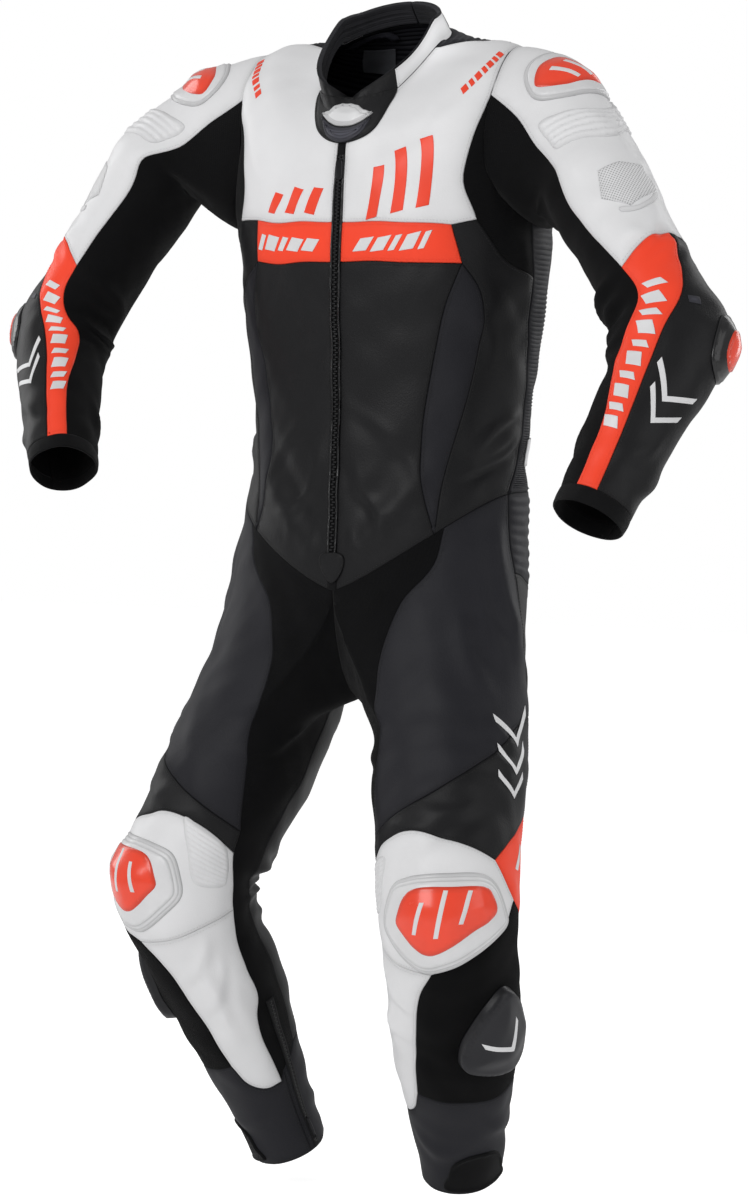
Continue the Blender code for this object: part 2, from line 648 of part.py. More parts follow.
def outline(kind, points, seams, names):
    """A panel's loop of places, each with the border that it lies on."""
    def same(name):
        return SAME_POINT.get(name, name)

    loop = []
    names = names.split()
    first, second = seams[names[0]], seams[names[1]]
    ends = (same(second[0]), same(second[-1]))
    at = same(first[0]) if same(first[-1]) in ends else same(first[-1])
    if len(names) == 2:
        at = same(first[0])
    for name in names:
        route = seams[name]
        places, border = seam_places(kind, points, route)
        if same(route[0]) != at:
            places = places[::-1]
        at = same(route[-1]) if same(route[0]) == at else same(route[0])
        if loop:
            turns = round((loop[-1][0] - places[0][0]) / 360.0) * 360.0
            places = [(u + turns, v) for u, v in places]
            loop[-1] = (loop[-1][0], loop[-1][1], loop[-1][2] or border)
            places = places[1:]
        loop += [(u, v, border) for u, v in places]
    closing = loop.pop()
    loop[0] = (loop[0][0], loop[0][1], loop[0][2] or closing[2])
    return loop


def border_depth(surface, u, v, border):
    """The direction in which both walls are deep where two surfaces meet."""
    if surface == "torso_left" and not 0 <= u <= 180:
        return border_depth("torso_right", 360.0 - u if u > 180 else -u, v, border)
    side = side_of(surface)
    end = "_left" if side > 0 else "_right"
    own = outward(surface, u, v)
    if border == "armhole":
        if kind_of(surface) == "arm":
            angle, t = armhole_place(u)
            return unit(own + outward("torso" + end, angle, t))
        middle = (ARMHOLE["top"] + ARMHOLE["low"]) / 2
        reach = (ARMHOLE["low"] - ARMHOLE["top"]) / 2
        phi = np.degrees(np.arctan2((ARMHOLE["angle"] - u) / ARMHOLE["half_angle"], (middle - v) / reach))
        return unit(own + outward("arm" + end, phi, 0.0))
    if border == "waist" and kind_of(surface) == "leg":
        return unit(own + outward("torso" + end, waist_angle(u), WAIST_T))
    if border == "waist":
        return unit(own + outward("leg" + end, hip_angle(u), 0.0))
    if border == "crotch":
        return unit(own * (0, 1, 1))
    return own


# ---------------------------------------------------------------- building

def new_object(name, mesh_data, colour, roughness):
    mesh = bpy.data.meshes.new(name)
    mesh_data.to_mesh(mesh)
    mesh_data.free()
    mesh.shade_smooth()
    mesh.set_sharp_from_angle(angle=0.7)
    thing = bpy.data.objects.new(name, mesh)
    bpy.context.scene.collection.objects.link(thing)
    material = bpy.data.materials.new(name)
    material.use_nodes = True
    shader = material.node_tree.nodes["Principled BSDF"]
    shader.inputs["Base Color"].default_value = (*colour, 1)
    shader.inputs["Roughness"].default_value = roughness
    mesh.materials.append(material)
    return thing


def lattice_points(loop, spacing, clear):
    """Points of a hexagonal lattice inside a flat outline, not near its edge."""
    loop = np.array(loop)
    ahead = np.roll(loop, -1, axis=0)
    low, high = loop.min(axis=0), loop.max(axis=0)
    rows = int(np.ceil((high[1] - low[1]) / (spacing * 0.87)))
    found = []
    for row in range(1, rows):
        y = low[1] + (high[1] - low[1]) * row / rows
        offset = spacing / 2 * (row % 2)
        for x in np.arange(low[0] + offset, high[0], spacing):
            crosses = (loop[:, 1] > y) != (ahead[:, 1] > y)
            run = np.where(crosses, ahead[:, 1] - loop[:, 1], 1.0)
            at = loop[:, 0] + (ahead[:, 0] - loop[:, 0]) * (y - loop[:, 1]) / run
            if np.sum(crosses & (at > x)) % 2 == 0:
                continue
            edge = ahead - loop
            p = np.clip(np.sum((np.array([x, y]) - loop) * edge, axis=1) / np.sum(edge**2, axis=1), 0, 1)
            if np.linalg.norm(loop + p[:, None] * edge - (x, y), axis=1).min() > clear:
                found.append((x, y))
    return found


def triangulate(flat_loop, inside):
    """Triangles over a flat outline and the points inside it, as indices into the two lists joined."""
    points = [Vector(p) for p in list(flat_loop) + list(inside)]
    count = len(flat_loop)
    edges = [(i, (i + 1) % count) for i in range(count)]
    _, _, faces, origins, _, _ = delaunay_2d_cdt(points, edges, [list(range(count))], 1, 1e-6)
    return [tuple(origins[i][0] for i in face) for face in faces]


def drawn_in(points, depth, gap):
    """A closed loop of points, each moved along the surface by half a seam's gap, towards the inside."""
    ahead = np.roll(points, -1, axis=0) - points
    inward = unit(np.cross(depth, ahead))
    both = inward + np.roll(inward, 1, axis=0)
    length = np.linalg.norm(both, axis=1, keepdims=True)
    both = np.where(length > 1e-3, both / np.maximum(length, 1e-9), inward)
    share = np.clip(np.sum(both * inward, axis=1, keepdims=True), 0.4, 1)
    return both * gap / 2 / share


def crotch_share(u):
    """Degrees of the crotch passed on the way to an angle."""
    turns = np.floor((u - CROTCH_START) / 360.0)
    span = CROTCH_END - CROTCH_START
    return span * turns + np.clip(u - CROTCH_START - 360.0 * turns, 0, span)


def flat_x(kind, u, v):
    """Millimetres across the cloth to an angle; the crotch seam is long for the few degrees it spans."""
    u = np.asarray(u, float)
    if kind != "leg":
        return u * DEGREE[kind]
    spread = CROTCH_SPREAD * np.clip(1 - np.asarray(v, float) / CAP["leg"], 0, 1)
    return (u + spread * crotch_share(u)) * DEGREE[kind]


def angle_at(kind, x, v):
    """The angle that lies x millimetres across, by halving."""
    low, high = np.full(np.shape(x), -720.0), np.full(np.shape(x), 1080.0)
    for _ in range(40):
        middle = (low + high) / 2
        past = flat_x(kind, middle, v) > x
        high = np.where(past, middle, high)
        low = np.where(past, low, middle)
    return (low + high) / 2


def signed_area(flat):
    flat = np.array(flat)
    ahead = np.roll(flat, -1, axis=0)
    return np.sum(flat[:, 0] * ahead[:, 1] - ahead[:, 0] * flat[:, 1]) / 2


def wall(points, depth, faces, thick):
    """A closed wall: the faces outside, and a copy of them deeper in."""
    shell = bmesh.new()
    outer = [shell.verts.new(point * MM) for point in points]
    for face in faces:
        shell.faces.new([outer[i] for i in face])
    copied = bmesh.ops.extrude_face_region(shell, geom=shell.faces[:], use_keep_orig=True)
    deeper = {tuple(point * MM): -way * thick * MM for point, way in zip(points, depth)}
    place_of = {tuple(vert.co): deeper[key] for vert, key in zip(outer, deeper)}
    for vert in copied["geom"]:
        if isinstance(vert, bmesh.types.BMVert):
            vert.co = vert.co + Vector(place_of[tuple(vert.co)])
    bmesh.ops.recalc_face_normals(shell, faces=shell.faces[:])
    bmesh.ops.triangulate(shell, faces=shell.faces[:])
    return shell


def panel(surface, loop, thick, lattice=LATTICE):
    """One sewn panel as a closed wall."""
    kind = kind_of(surface)
    flat = [(float(flat_x(kind, u, v)), v) for u, v, _ in loop]
    inside = lattice_points(flat, lattice, EDGE_CLEAR)
    faces = triangulate(flat, inside)
    v = np.array([y for _, y in flat + inside])
    u = angle_at(kind, np.array([x for x, _ in flat + inside]), v)
    points, depth = place(surface, u, v)
    for i, (a, b, border) in enumerate(loop):
        if border in ("armhole", "waist", "crotch"):
            depth[i] = border_depth(surface, np.array(a), np.array(b), border)
    count = len(loop)
    way = np.sign(signed_area(flat)) * orientation(surface)
    points[:count] += drawn_in(points[:count], depth[:count] * way, SEAM_GAP)
    return wall(points, depth, faces, thick)


def orientation(surface):
    """Whether a flat loop that runs left-handed lies so on the outside of its surface."""
    return side_of(surface) if surface.startswith("arm") else -side_of(surface)


def overlay(surface, shape, lift, height, thick, step=OVERLAY_STEP):
    """A cup, pad or tab that lies on a panel: its rim at lift, its middle crowned by height(0..1)."""
    kind = kind_of(surface)
    flat = [(u * DEGREE[kind], v) for u, v in shape]
    inside = lattice_points(flat, step, 0.4 * step)
    faces = triangulate(flat, inside)
    every = np.array(flat + inside)
    loop = np.array(flat)
    ahead = np.roll(loop, -1, axis=0)
    edge = ahead - loop
    inwards = []
    for point in every:
        p = np.clip(np.sum((point - loop) * edge, axis=1) / np.sum(edge**2, axis=1), 0, 1)
        inwards.append(np.linalg.norm(loop + p[:, None] * edge - point, axis=1).min())
    inwards = np.array(inwards) / max(inwards)
    u, v = every[:, 0] / DEGREE[kind], every[:, 1]
    points, depth = place(surface, u, v, lift + thick + height(inwards))
    base, _ = place(surface, u, v, lift)
    shell = bmesh.new()
    outer = [shell.verts.new(point * MM) for point in points]
    inner = [shell.verts.new(point * MM) for point in base]
    for face in faces:
        shell.faces.new([outer[i] for i in face])
        shell.faces.new([inner[i] for i in reversed(face)])
    count = len(flat)
    for i in range(count):
        j = (i + 1) % count
        shell.faces.new([outer[i], inner[i], inner[j], outer[j]])
    bmesh.ops.recalc_face_normals(shell, faces=shell.faces[:])
    bmesh.ops.triangulate(shell, faces=shell.faces[:])
    return shell


def oval(u, v, wide, tall, kind, count=16, square=2.0, lean=0.0):
    """An oval or rounded box of places; wide and tall are half sizes in millimetres of cloth."""
    places = []
    for k in range(count):
        a = 2 * np.pi * k / count
        c, s = np.cos(a), np.sin(a)
        r = (abs(c) ** square + abs(s) ** square) ** (-1 / square)
        x, y = wide * r * c, tall * r * s
        turn = np.radians(lean)
        x, y = x * np.cos(turn) - y * np.sin(turn), x * np.sin(turn) + y * np.cos(turn)
        places.append((u + x / DEGREE[kind], v + y))
    return places


COLOURS = {
    "white": (0.80, 0.80, 0.81),
    "orange": (0.95, 0.09, 0.035),
    "black": (0.018, 0.018, 0.02),
    "stretch": (0.008, 0.008, 0.009),
    "slate": (0.032, 0.032, 0.038),
    "grey": (0.06, 0.06, 0.065),
}
LOOKS = {  # colour, roughness, wall
    "chest": ("white", 0.45, LEATHER),
    "band": ("orange", 0.45, LEATHER),
    "front": ("black", 0.45, LEATHER),
    "leaf": ("slate", 0.5, LEATHER),
    "side_front": ("black", 0.45, LEATHER),
    "side_stretch": ("stretch", 0.85, STRETCH),
    "flank": ("grey", 0.7, LEATHER),
    "back_yoke": ("grey", 0.7, LEATHER),
    "back_panel": ("black", 0.45, LEATHER),
    "sleeve_outer": ("white", 0.45, LEATHER),
    "sleeve_inner": ("stretch", 0.85, STRETCH),
    "sleeve_stripe": ("orange", 0.45, LEATHER),
    "forearm": ("black", 0.45, LEATHER),
    "cuff": ("stretch", 0.8, STRETCH),
    "lumbar_ribs": ("grey", 0.7, LEATHER),
    "thigh_front": ("slate", 0.5, LEATHER),
    "thigh_lower": ("black", 0.45, LEATHER),
    "knee_flash": ("orange", 0.45, LEATHER),
    "knee": ("white", 0.45, LEATHER),
    "shin_white": ("white", 0.45, LEATHER),
    "shin_patch": ("stretch", 0.9, LEATHER),
    "leg_back": ("black", 0.45, LEATHER),
    "leg_inner": ("stretch", 0.85, STRETCH),
    "ankle": ("slate", 0.5, LEATHER),
}


def add_panel(name, surface, loop):
    colour, roughness, thick = LOOKS[name.removesuffix("_left").removesuffix("_right")]
    new_object(name, panel(surface, loop, thick), COLOURS[colour], roughness)


def side_panels(side):
    """The panels that each side has."""
    torso_points = TORSO_POINTS | (RIGHT_POINTS if side == "right" else {})
    groups = (
        ("torso", torso_points, TORSO_SEAMS, TORSO_PANELS),
        ("arm", ARM_POINTS, ARM_SEAMS, ARM_PANELS),
        ("leg", LEG_POINTS, LEG_SEAMS, LEG_PANELS),
    )
    for kind, points, seams, panels in groups:
        for name, names in panels.items():
            add_panel(f"{name}_{side}", f"{kind}_{side}", outline(kind, points, seams, names))


def mirrored(loop):
    return [(-u, v, border) for u, v, border in reversed(loop)]


def seam_run(points, seams, names):
    """Seams end to end, each a name with a minus where it is run backwards."""
    run = []
    for name in names.split():
        places, border = seam_places("torso", points, seams[name.strip("-")])
        places = places[::-1] if name.startswith("-") else places
        if run:
            run[-1] = (*run[-1][:2], run[-1][2] or border)
            places = places[1:]
        run += [(u, v, border) for u, v in places]
    return run


def across_panels():
    """The panels that cross the back or the front's middle: their loops run left, then mirrored."""
    yoke = seam_run(TORSO_POINTS, TORSO_SEAMS, "-neck_rear shoulder_seam -armhole_yoke yoke_seam")
    back = seam_run(TORSO_POINTS, TORSO_SEAMS, "-yoke_seam -armhole_back flank_rear waist_seat")
    for name, half in (("back_yoke", yoke), ("back_panel", back)):
        other = [(360.0 - u, v, border) for u, v, border in reversed(half)][1:-1]
        add_panel(name, "torso_left", half + other)
    edge = seam_run(TORSO_POINTS, TORSO_SEAMS, "zip_chest zip_band zip_front")
    edge[-1] = (*edge[-1][:2], "waist")
    loop = edge + [(0.0, WAIST_T, "waist")] + mirrored(edge) + [(0.0, NECK_T, None)]
    new_object("zip", panel("torso_left", loop, STRETCH), COLOURS["stretch"], 0.6)


# ---------------------------------------------------------------- the collar

COLLAR = table(  # height and inward lean round the stand collar, which flares out on the wearer's right
    "turn tall lean lean_right",
    (0, 22, 0.42, 0.42),
    (15, 25, 0.24, 0.12),
    (30, 25, 0.12, -0.14),
    (45, 23, 0.08, -0.15),
    (60, 20, 0.06, -0.14),
    (75, 20, 0.08, -0.10),
    (90, 27, 0.10, 0.04),
    (120, 24, 0.12, 0.12),
    (180, 22, 0.14, 0.14),
)
COLLAR_CENTRE = (-30, -22, 0)
COLLAR_ROWS = 3


def collar_point(angle, height, inset):
    """The stand collar over the neck seam; height runs 0 to 1, and inset moves it inwards."""
    base = torso(angle, NECK_T)
    turn = (angle + 180) % 360 - 180
    away = (base - np.array(COLLAR_CENTRE, float)) * (1, 1, 0)
    out = away / np.linalg.norm(away)
    lean = smooth(COLLAR, "lean" if turn >= 0 else "lean_right", abs(turn))
    point = base - away * lean * height - out * inset
    point[2] += SEAM_GAP + (smooth(COLLAR, "tall", abs(turn)) - SEAM_GAP) * height
    return point * MM


def add_collar(name, outside, inside, drop, colour):
    """A ring wall between two insets. Its lower edge follows the neck seam, lowered by drop."""
    angles = stops_between(NECK_STOPS, 0.0, 180.0, 18.0)
    angles = [-a for a in angles[:0:-1]] + angles[:-1]
    ring = bmesh.new()
    columns = []
    for angle in angles:
        heights = [k / COLLAR_ROWS for k in range(COLLAR_ROWS + 1)]
        column = [collar_point(angle, h, outside) for h in heights]
        column += [collar_point(angle, h, inside) for h in reversed(heights)]
        column[0][2] -= drop * MM
        column[-1][2] -= drop * MM
        columns.append([ring.verts.new(point) for point in column])
    for one, two in zip(columns, columns[1:] + columns[:1]):
        for k, lower in enumerate(one):
            after = (k + 1) % len(one)
            ring.faces.new([lower, two[k], two[after], one[after]])
    bmesh.ops.recalc_face_normals(ring, faces=ring.faces[:])
    bmesh.ops.triangulate(ring, faces=ring.faces[:])
    new_object(name, ring, COLOURS[colour], 0.5)


# ---------------------------------------------------------------- cups, sliders, zip and throat

def crown(rise):
    """A cushion's height from its rim, 0, to its middle, 1."""
    return lambda inwards: rise * np.sin(np.pi / 2 * np.clip(inwards, 0, 1))


KNEE_CUP = {"place": (-4, 351), "wide": 57.0, "tall": 20.5, "rise": 6.5}
SHOULDER_CUP = {"place": (30, 40), "wide": 27.0, "tall": 19.0, "rise": 5.0, "lean": 130.0}
ELBOW_CUP = {"place": (-6, 316), "wide": 27.0, "tall": 24.0, "rise": 5.0}
SLIDER = {"left": (42, 470), "right": (56, 458), "wide": 42.0, "tall": 57.0, "rise": 8.0, "thick": 12.0}
SLIDER_LIFT, TAB_LIFT, PULL_LIFT = 0.7, 0.5, 0.45  # these lie closer, where their panel is smooth
THROAT = ((-42, 5), (-30, 4), (-15, 3), (0, 3), (15, 3), (30, 4), (42, 5), (33, 18), (26, 31), (20, 40),
          (11, 46), (0, 48), (-11, 46), (-20, 40), (-26, 31), (-33, 18))
BASE_TAB = ((-4.6, 533), (0, 528), (4.6, 533), (5.2, 543), (2.8, 550), (0, 554), (-2.8, 550), (-5.2, 543))
PULL = ((-1.6, 78), (0, 76.5), (1.6, 78), (1.9, 92), (1.6, 106), (0, 108), (-1.6, 106), (-1.9, 92))


def side_overlays(side):
    knee = oval(*KNEE_CUP["place"], KNEE_CUP["wide"], KNEE_CUP["tall"], "leg", 20, 2.4)
    shoulder = oval(*SHOULDER_CUP["place"], SHOULDER_CUP["wide"], SHOULDER_CUP["tall"], "arm", 16, 2.2,
                    SHOULDER_CUP["lean"])
    elbow = oval(*ELBOW_CUP["place"], ELBOW_CUP["wide"], ELBOW_CUP["tall"], "arm", 16, 2.3)
    puck = oval(*SLIDER[side], SLIDER["wide"], SLIDER["tall"], "leg", 18, 2.2)
    leg_name, arm_name = f"leg_{side}", f"arm_{side}"
    cup = overlay(leg_name, knee, OVERLAY_LIFT, crown(KNEE_CUP["rise"]), 2.5)
    new_object(f"knee_cup_{side}", cup, COLOURS["orange"], 0.35)
    cup = overlay(arm_name, shoulder, OVERLAY_LIFT, crown(SHOULDER_CUP["rise"]), 2.0)
    new_object(f"shoulder_cup_{side}", cup, COLOURS["orange"], 0.35)
    cup = overlay(arm_name, elbow, OVERLAY_LIFT, crown(ELBOW_CUP["rise"]), 2.5)
    new_object(f"elbow_cup_{side}", cup, COLOURS["black"], 0.4)
    cup = overlay(leg_name, puck, SLIDER_LIFT, crown(SLIDER["rise"]), SLIDER["thick"])
    new_object(f"knee_slider_{side}", cup, COLOURS["slate"], 0.45)


def front_overlays():
    throat = overlay("torso_left", THROAT, OVERLAY_LIFT, crown(2.0), 2.0, 16.0)
    new_object("throat", throat, COLOURS["black"], 0.5)
    tab = overlay("torso_left", BASE_TAB, TAB_LIFT, crown(0.8), 1.6)
    new_object("zip_base_tab", tab, COLOURS["black"], 0.5)
    pull = overlay("torso_left", PULL, PULL_LIFT, crown(0.6), 2.2, 5.0)
    new_object("zip_pull", pull, COLOURS["grey"], 0.35)


def main():
    for thing in list(bpy.data.objects):
        bpy.data.objects.remove(thing, do_unlink=True)
    for side in ("left", "right"):
        side_panels(side)
        side_overlays(side)
    across_panels()
    add_collar("collar", 0.0, COLLAR_WALL, 0.0, "white")
    add_collar("collar_lining", COLLAR_WALL + SEAM_GAP, COLLAR_WALL + SEAM_GAP + LINING, 0.0, "stretch")
    front_overlays()


main()
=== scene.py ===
"""One-piece leather race suit: fine sewn panels, ribs, armour cups, sliders, collar and zip.

Every panel is cut from one of five smooth surfaces, the torso, two sleeves and two legs, and the stand
collar is a sixth. A place on a surface is an angle round the body in degrees and a station along it in
millimetres. Seams are short routes between named points, and a panel is the loop of seams round it.
"""

import bmesh
import bpy
import numpy as np
from bpy.props import FloatProperty, FloatVectorProperty, PointerProperty
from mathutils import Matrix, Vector
from mathutils.kdtree import KDTree


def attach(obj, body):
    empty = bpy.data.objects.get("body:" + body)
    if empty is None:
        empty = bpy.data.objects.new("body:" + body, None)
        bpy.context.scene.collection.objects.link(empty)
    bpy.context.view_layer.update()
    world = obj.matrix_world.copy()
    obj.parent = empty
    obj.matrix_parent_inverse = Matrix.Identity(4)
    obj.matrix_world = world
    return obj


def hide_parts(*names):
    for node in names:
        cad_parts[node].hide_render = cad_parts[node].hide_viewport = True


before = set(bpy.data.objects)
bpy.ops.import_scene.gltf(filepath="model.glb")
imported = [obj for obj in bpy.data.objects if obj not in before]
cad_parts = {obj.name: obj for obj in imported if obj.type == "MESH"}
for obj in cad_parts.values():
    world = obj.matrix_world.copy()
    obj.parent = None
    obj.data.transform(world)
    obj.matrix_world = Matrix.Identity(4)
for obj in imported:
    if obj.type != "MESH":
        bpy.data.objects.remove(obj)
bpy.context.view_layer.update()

bl_info = {
    "name": "Race suit",
    "version": (1, 0, 0),
    "blender": (4, 5, 0),
    "location": "View3D > Sidebar > Race suit",
    "description": "Builds a filled-out one-piece leather race suit, panel by panel",
    "category": "Add Mesh",
}

MM = 0.001
LEATHER, STRETCH, COLLAR_WALL = 1.8, 1.4, 3.0  # walls, in millimetres as all lengths here
COARSE = 1.0
SEAM_STEP = 6.0  # between the points along a seam
GRID = 4.3  # between the rows of a panel's inner grid
ROWS = (1.3, 3.3)  # how far in from a seam the first rows of points lie
ZIP_HALF = 5.2  # half the zip's width
NECK_T, WAIST_T = 0.0, 560.0  # the torso's stations at the neck seam and the waist seam


def table(names, *rows):
    """Columns of a short table, each found by its name."""
    return dict(zip(names.split(), np.array(rows, float).T))


def smooth(columns, name, at):
    """A smooth curve through one column, read at stations of the table's first column."""
    stations = next(iter(columns.values()))
    values = columns[name]
    slopes = np.gradient(values, stations)
    at = np.clip(np.asarray(at, float), stations[0], stations[-1])
    i = np.clip(np.searchsorted(stations, at, side="right") - 1, 0, len(stations) - 2)
    span = stations[i + 1] - stations[i]
    w = (at - stations[i]) / span
    start = (1 + 2 * w) * (1 - w) ** 2 * values[i] + w * (1 - w) ** 2 * span * slopes[i]
    end = w * w * (3 - 2 * w) * values[i + 1] + w * w * (w - 1) * span * slopes[i + 1]
    return start + end


def unit(vectors):
    vectors = np.asarray(vectors, float)
    return vectors / np.linalg.norm(vectors, axis=-1, keepdims=True)


def ease(x):
    """0 to 1 along a smooth step."""
    x = np.clip(x, 0, 1)
    return x * x * (3 - 2 * x)


def hermite(start, start_slope, end, end_slope, w):
    w = w[..., None]
    near = start * (1 + 2 * w) * (1 - w) ** 2 + start_slope * w * (1 - w) ** 2
    return near + end * w * w * (3 - 2 * w) + end_slope * w * w * (w - 1)


# ---------------------------------------------------------------- the torso's surface

TORSO = table(
    "t    half shift turned front back z_front z_side z_back power vee straight",
    (0, 67, 0, 9, -104, 56, -74, 14, 41, 2.0, 2.0, 1.0),  # neck seam
    (40, 106, 0, 10, -111, 78, -100, 14, 20, 2.05, 2.0, 0.6),
    (80, 146, 0, 9, -115, 96, -124, 10, -12, 2.15, 2.0, 0.2),
    (120, 178, 0, 8.5, -118, 108, -152, -12, -50, 2.3, 2.0, 0.0),  # shoulder point
    (165, 187, 0, 7, -118, 114, -186, -98, -112, 2.35, 2.0, 0.0),
    (215, 184, 0, 4.5, -117, 115, -226, -190, -190, 2.35, 2.0, 0.0),  # armpit
    (270, 179, 0, 2, -114, 111, -278, -262, -262, 2.3, 2.0, 0.0),
    (350, 168, 1, 0, -110, 101, -354, -345, -342, 2.25, 2.0, 0.0),  # waist
    (430, 162, 0, 0, -112, 92, -432, -410, -405, 2.2, 1.8, 0.0),
    (500, 162, -5, 0, -116, 92, -505, -446, -440, 2.2, 1.5, 0.0),
    (560, 168, -9, 0, -118, 98, -578, -474, -468, 2.2, 1.3, 0.0),  # waist seam, a V in front
)
# turned moves a ring's front towards the wearer's left, as in the turned body. straight is 1 where
# a ring falls evenly from back to front, as the neckline does.
SHOULDER_TILT = 0.045  # the left shoulder is held a little lower
TILT_END, TILT_OVER = 300.0, 180.0


def torso(angle, t):
    """A ring round the body: 0 is the front, 90 the wearer's left, 180 the back."""
    c = np.cos(np.radians(angle))
    s = np.sin(np.radians(angle))
    power = smooth(TORSO, "power", t)
    k = (np.abs(c) ** power + np.abs(s) ** power) ** (-1 / power)
    depth = np.where(c > 0, smooth(TORSO, "front", t), -smooth(TORSO, "back", t))
    side = smooth(TORSO, "z_side", t)
    straight = smooth(TORSO, "straight", t)
    level = (np.sqrt(c * c + 0.01) - 0.1) / 0.905
    bowed = 1 - np.abs(s) ** smooth(TORSO, "vee", t)
    front = side + (smooth(TORSO, "z_front", t) - side) * (bowed + (level - bowed) * straight)
    back = side + (smooth(TORSO, "z_back", t) - side) * (c * c + (level - c * c) * straight)
    across = smooth(TORSO, "half", t) * k * s + smooth(TORSO, "shift", t) * s * s
    across = across + smooth(TORSO, "turned", t) * np.clip(c, 0, 1) ** 2
    parts = (across, depth * k * c, np.where(c > 0, front, back))
    rings = np.stack(np.broadcast_arrays(*parts), -1)
    fade = ease((TILT_END - np.broadcast_to(t, rings.shape[:-1])) / TILT_OVER)
    rings[..., 2] -= SHOULDER_TILT * rings[..., 0] * fade
    return rings


# ---------------------------------------------------------------- sleeves and legs

POSE_ROWS = (  # joints of the held pose, x y z; twist turns the lower length about itself, in degrees
    # limb        root               bend                end                  twist
    ("arm_left", (220, -18, -86), (403, -88, -310), (366, -206, -490), 0),
    ("arm_right", (-248, -18, -38), (-408, -88, -304), (-298, -205, -472), 42),
    ("leg_left", (88, -10, -600), (175, -165, -905), (107, -29, -1213), 0),
    ("leg_right", (-102, -10, -600), (-180, -163, -905), (-125, -38, -1190), 0),
)
POSE = {
    limb: {"root": root, "bend": bend, "end": end, "twist": twist}
    for limb, root, bend, end, twist in POSE_ROWS
}
BEND_ROUND = 50.0  # how far either side of the joint the bend is spread
TWIST_FROM, TWIST_OVER = 150.0, 250.0

ARM = table(
    "s  outer front inner back",
    (0, 70, 66, 66, 68),
    (60, 62, 61, 59, 62),
    (130, 55, 56, 54, 58),
    (200, 51, 53, 51, 54),
    (260, 56, 52, 51, 54),
    (300, 69, 52, 49, 54),  # elbow
    (350, 60, 49, 46, 51),
    (410, 49, 45, 42, 46),
    (470, 43, 41, 39, 42),
    (530, 38, 38, 36, 38),
)
LEG = table(
    "s  front outer back inner",
    (0, 98, 92, 104, 86),
    (100, 88, 88, 97, 88),
    (180, 79, 83, 90, 85),
    (260, 74, 77, 80, 79),
    (310, 80, 74, 74, 73),
    (355, 85, 74, 70, 72),  # knee
    (410, 72, 72, 68, 67),
    (470, 62, 73, 72, 66),
    (530, 55, 68, 64, 62),
    (590, 48, 58, 51, 55),
    (650, 43, 50, 44, 46),
    (700, 40, 46, 41, 42),
)
HIP_LEAVING = table(  # which way, and how far, the leg's cloth runs on from its top seam
    "turn outer rear up reach",
    (-50, 0.0, 0.0, -1.0, 0.90),
    (0, 0.06, 0.0, -1.0, 0.90),
    (60, 0.10, 0.0, -1.0, 0.90),
    (120, 0.0, 0.0, -1.0, 0.90),
    (170, 0.10, 0.30, -1.0, 0.95),
    (200, 0.35, 0.35, -0.9, 1.00),
    (215, 0.55, 0.45, -0.8, 1.05),
    (230, 0.80, 0.50, -0.6, 1.10),
    (242, 1.0, 0.45, -0.35, 0.90),
    (262, 1.0, 0.25, -0.25, 0.60),
    (280, 1.0, 0.0, -0.28, 0.46),
    (290, 0.85, 0.0, -0.37, 0.52),
    (300, 0.6, 0.0, -0.55, 0.62),
    (310, 0.0, 0.0, -1.0, 0.90),
)
CAP = {"arm": 100.0, "leg": 200.0}  # length over which the seam's shape becomes the tube's
CUFF_S, ARM_END = 502.0, 520.0
LEG_END = 690.0

ARMHOLE = {"angle": 92.0, "half_angle": 38.0, "top": 96.0, "low": 213.0}
CROTCH_START, CROTCH_END = 230.0, 310.0
CROTCH = table(  # the seam between the legs, from the waist behind to the waist in front
    "turn y z",
    (230, 98, -468),
    (239, 96, -518),
    (247, 84, -562),
    (255, 58, -604),
    (264, 22, -643),
    (273, -18, -676),
    (280, -48, -696),
    (287, -76, -694),
    (294, -98, -667),
    (301, -111, -628),
    (310, -118, -578),
)
CROTCH_SPREAD = 3.2


def side_of(name):
    return -1 if name.endswith("right") else 1


def tube(name, angle, s):
    """A bent tube. Angle 0 is the elbow's or knee's side of it; 90 is an arm's front, a leg's outer side."""
    pose = POSE[name]
    columns = ARM if name.startswith("arm") else LEG
    root, bend, end = (np.array(pose[key], float) for key in ("root", "bend", "end"))
    upper, lower = unit(bend - root), unit(end - bend)
    x = s - np.linalg.norm(bend - root)
    r = np.hypot(x, BEND_ROUND)
    centre = bend + upper * ((x - r) / 2)[..., None] + lower * ((x + r) / 2)[..., None]
    along = unit(upper * ((1 - x / r) / 2)[..., None] + lower * ((1 + x / r) / 2)[..., None])
    out = unit(np.cross(along, np.cross(upper, lower)))
    out = out * np.sign(out.reshape(-1, 3)[0] @ (bend - (root + end) / 2))
    across = np.cross(along, out)
    wanted = (0, -1, 0) if name.startswith("arm") else (side_of(name), 0, 0)
    across = across * np.sign(across.reshape(-1, 3)[0] @ np.array(wanted, float))
    turn = pose["twist"] * ease((s - TWIST_FROM) / TWIST_OVER)
    c = np.cos(np.radians(angle + turn))
    a = np.sin(np.radians(angle + turn))
    first, second, third, fourth = list(columns)[1:]
    wide = np.where(c > 0, smooth(columns, first, s), smooth(columns, third, s)) * c
    deep = np.where(a > 0, smooth(columns, second, s), smooth(columns, fourth, s)) * a
    return centre + out * wide[..., None] + across * deep[..., None], along


def armhole_place(phi):
    """Where the armhole seam lies on the torso: phi 0 at the top, 90 in front, 180 below."""
    p = np.radians(phi)
    middle = (ARMHOLE["top"] + ARMHOLE["low"]) / 2
    reach = (ARMHOLE["low"] - ARMHOLE["top"]) / 2
    return ARMHOLE["angle"] - ARMHOLE["half_angle"] * np.sin(p), middle - reach * np.cos(p)


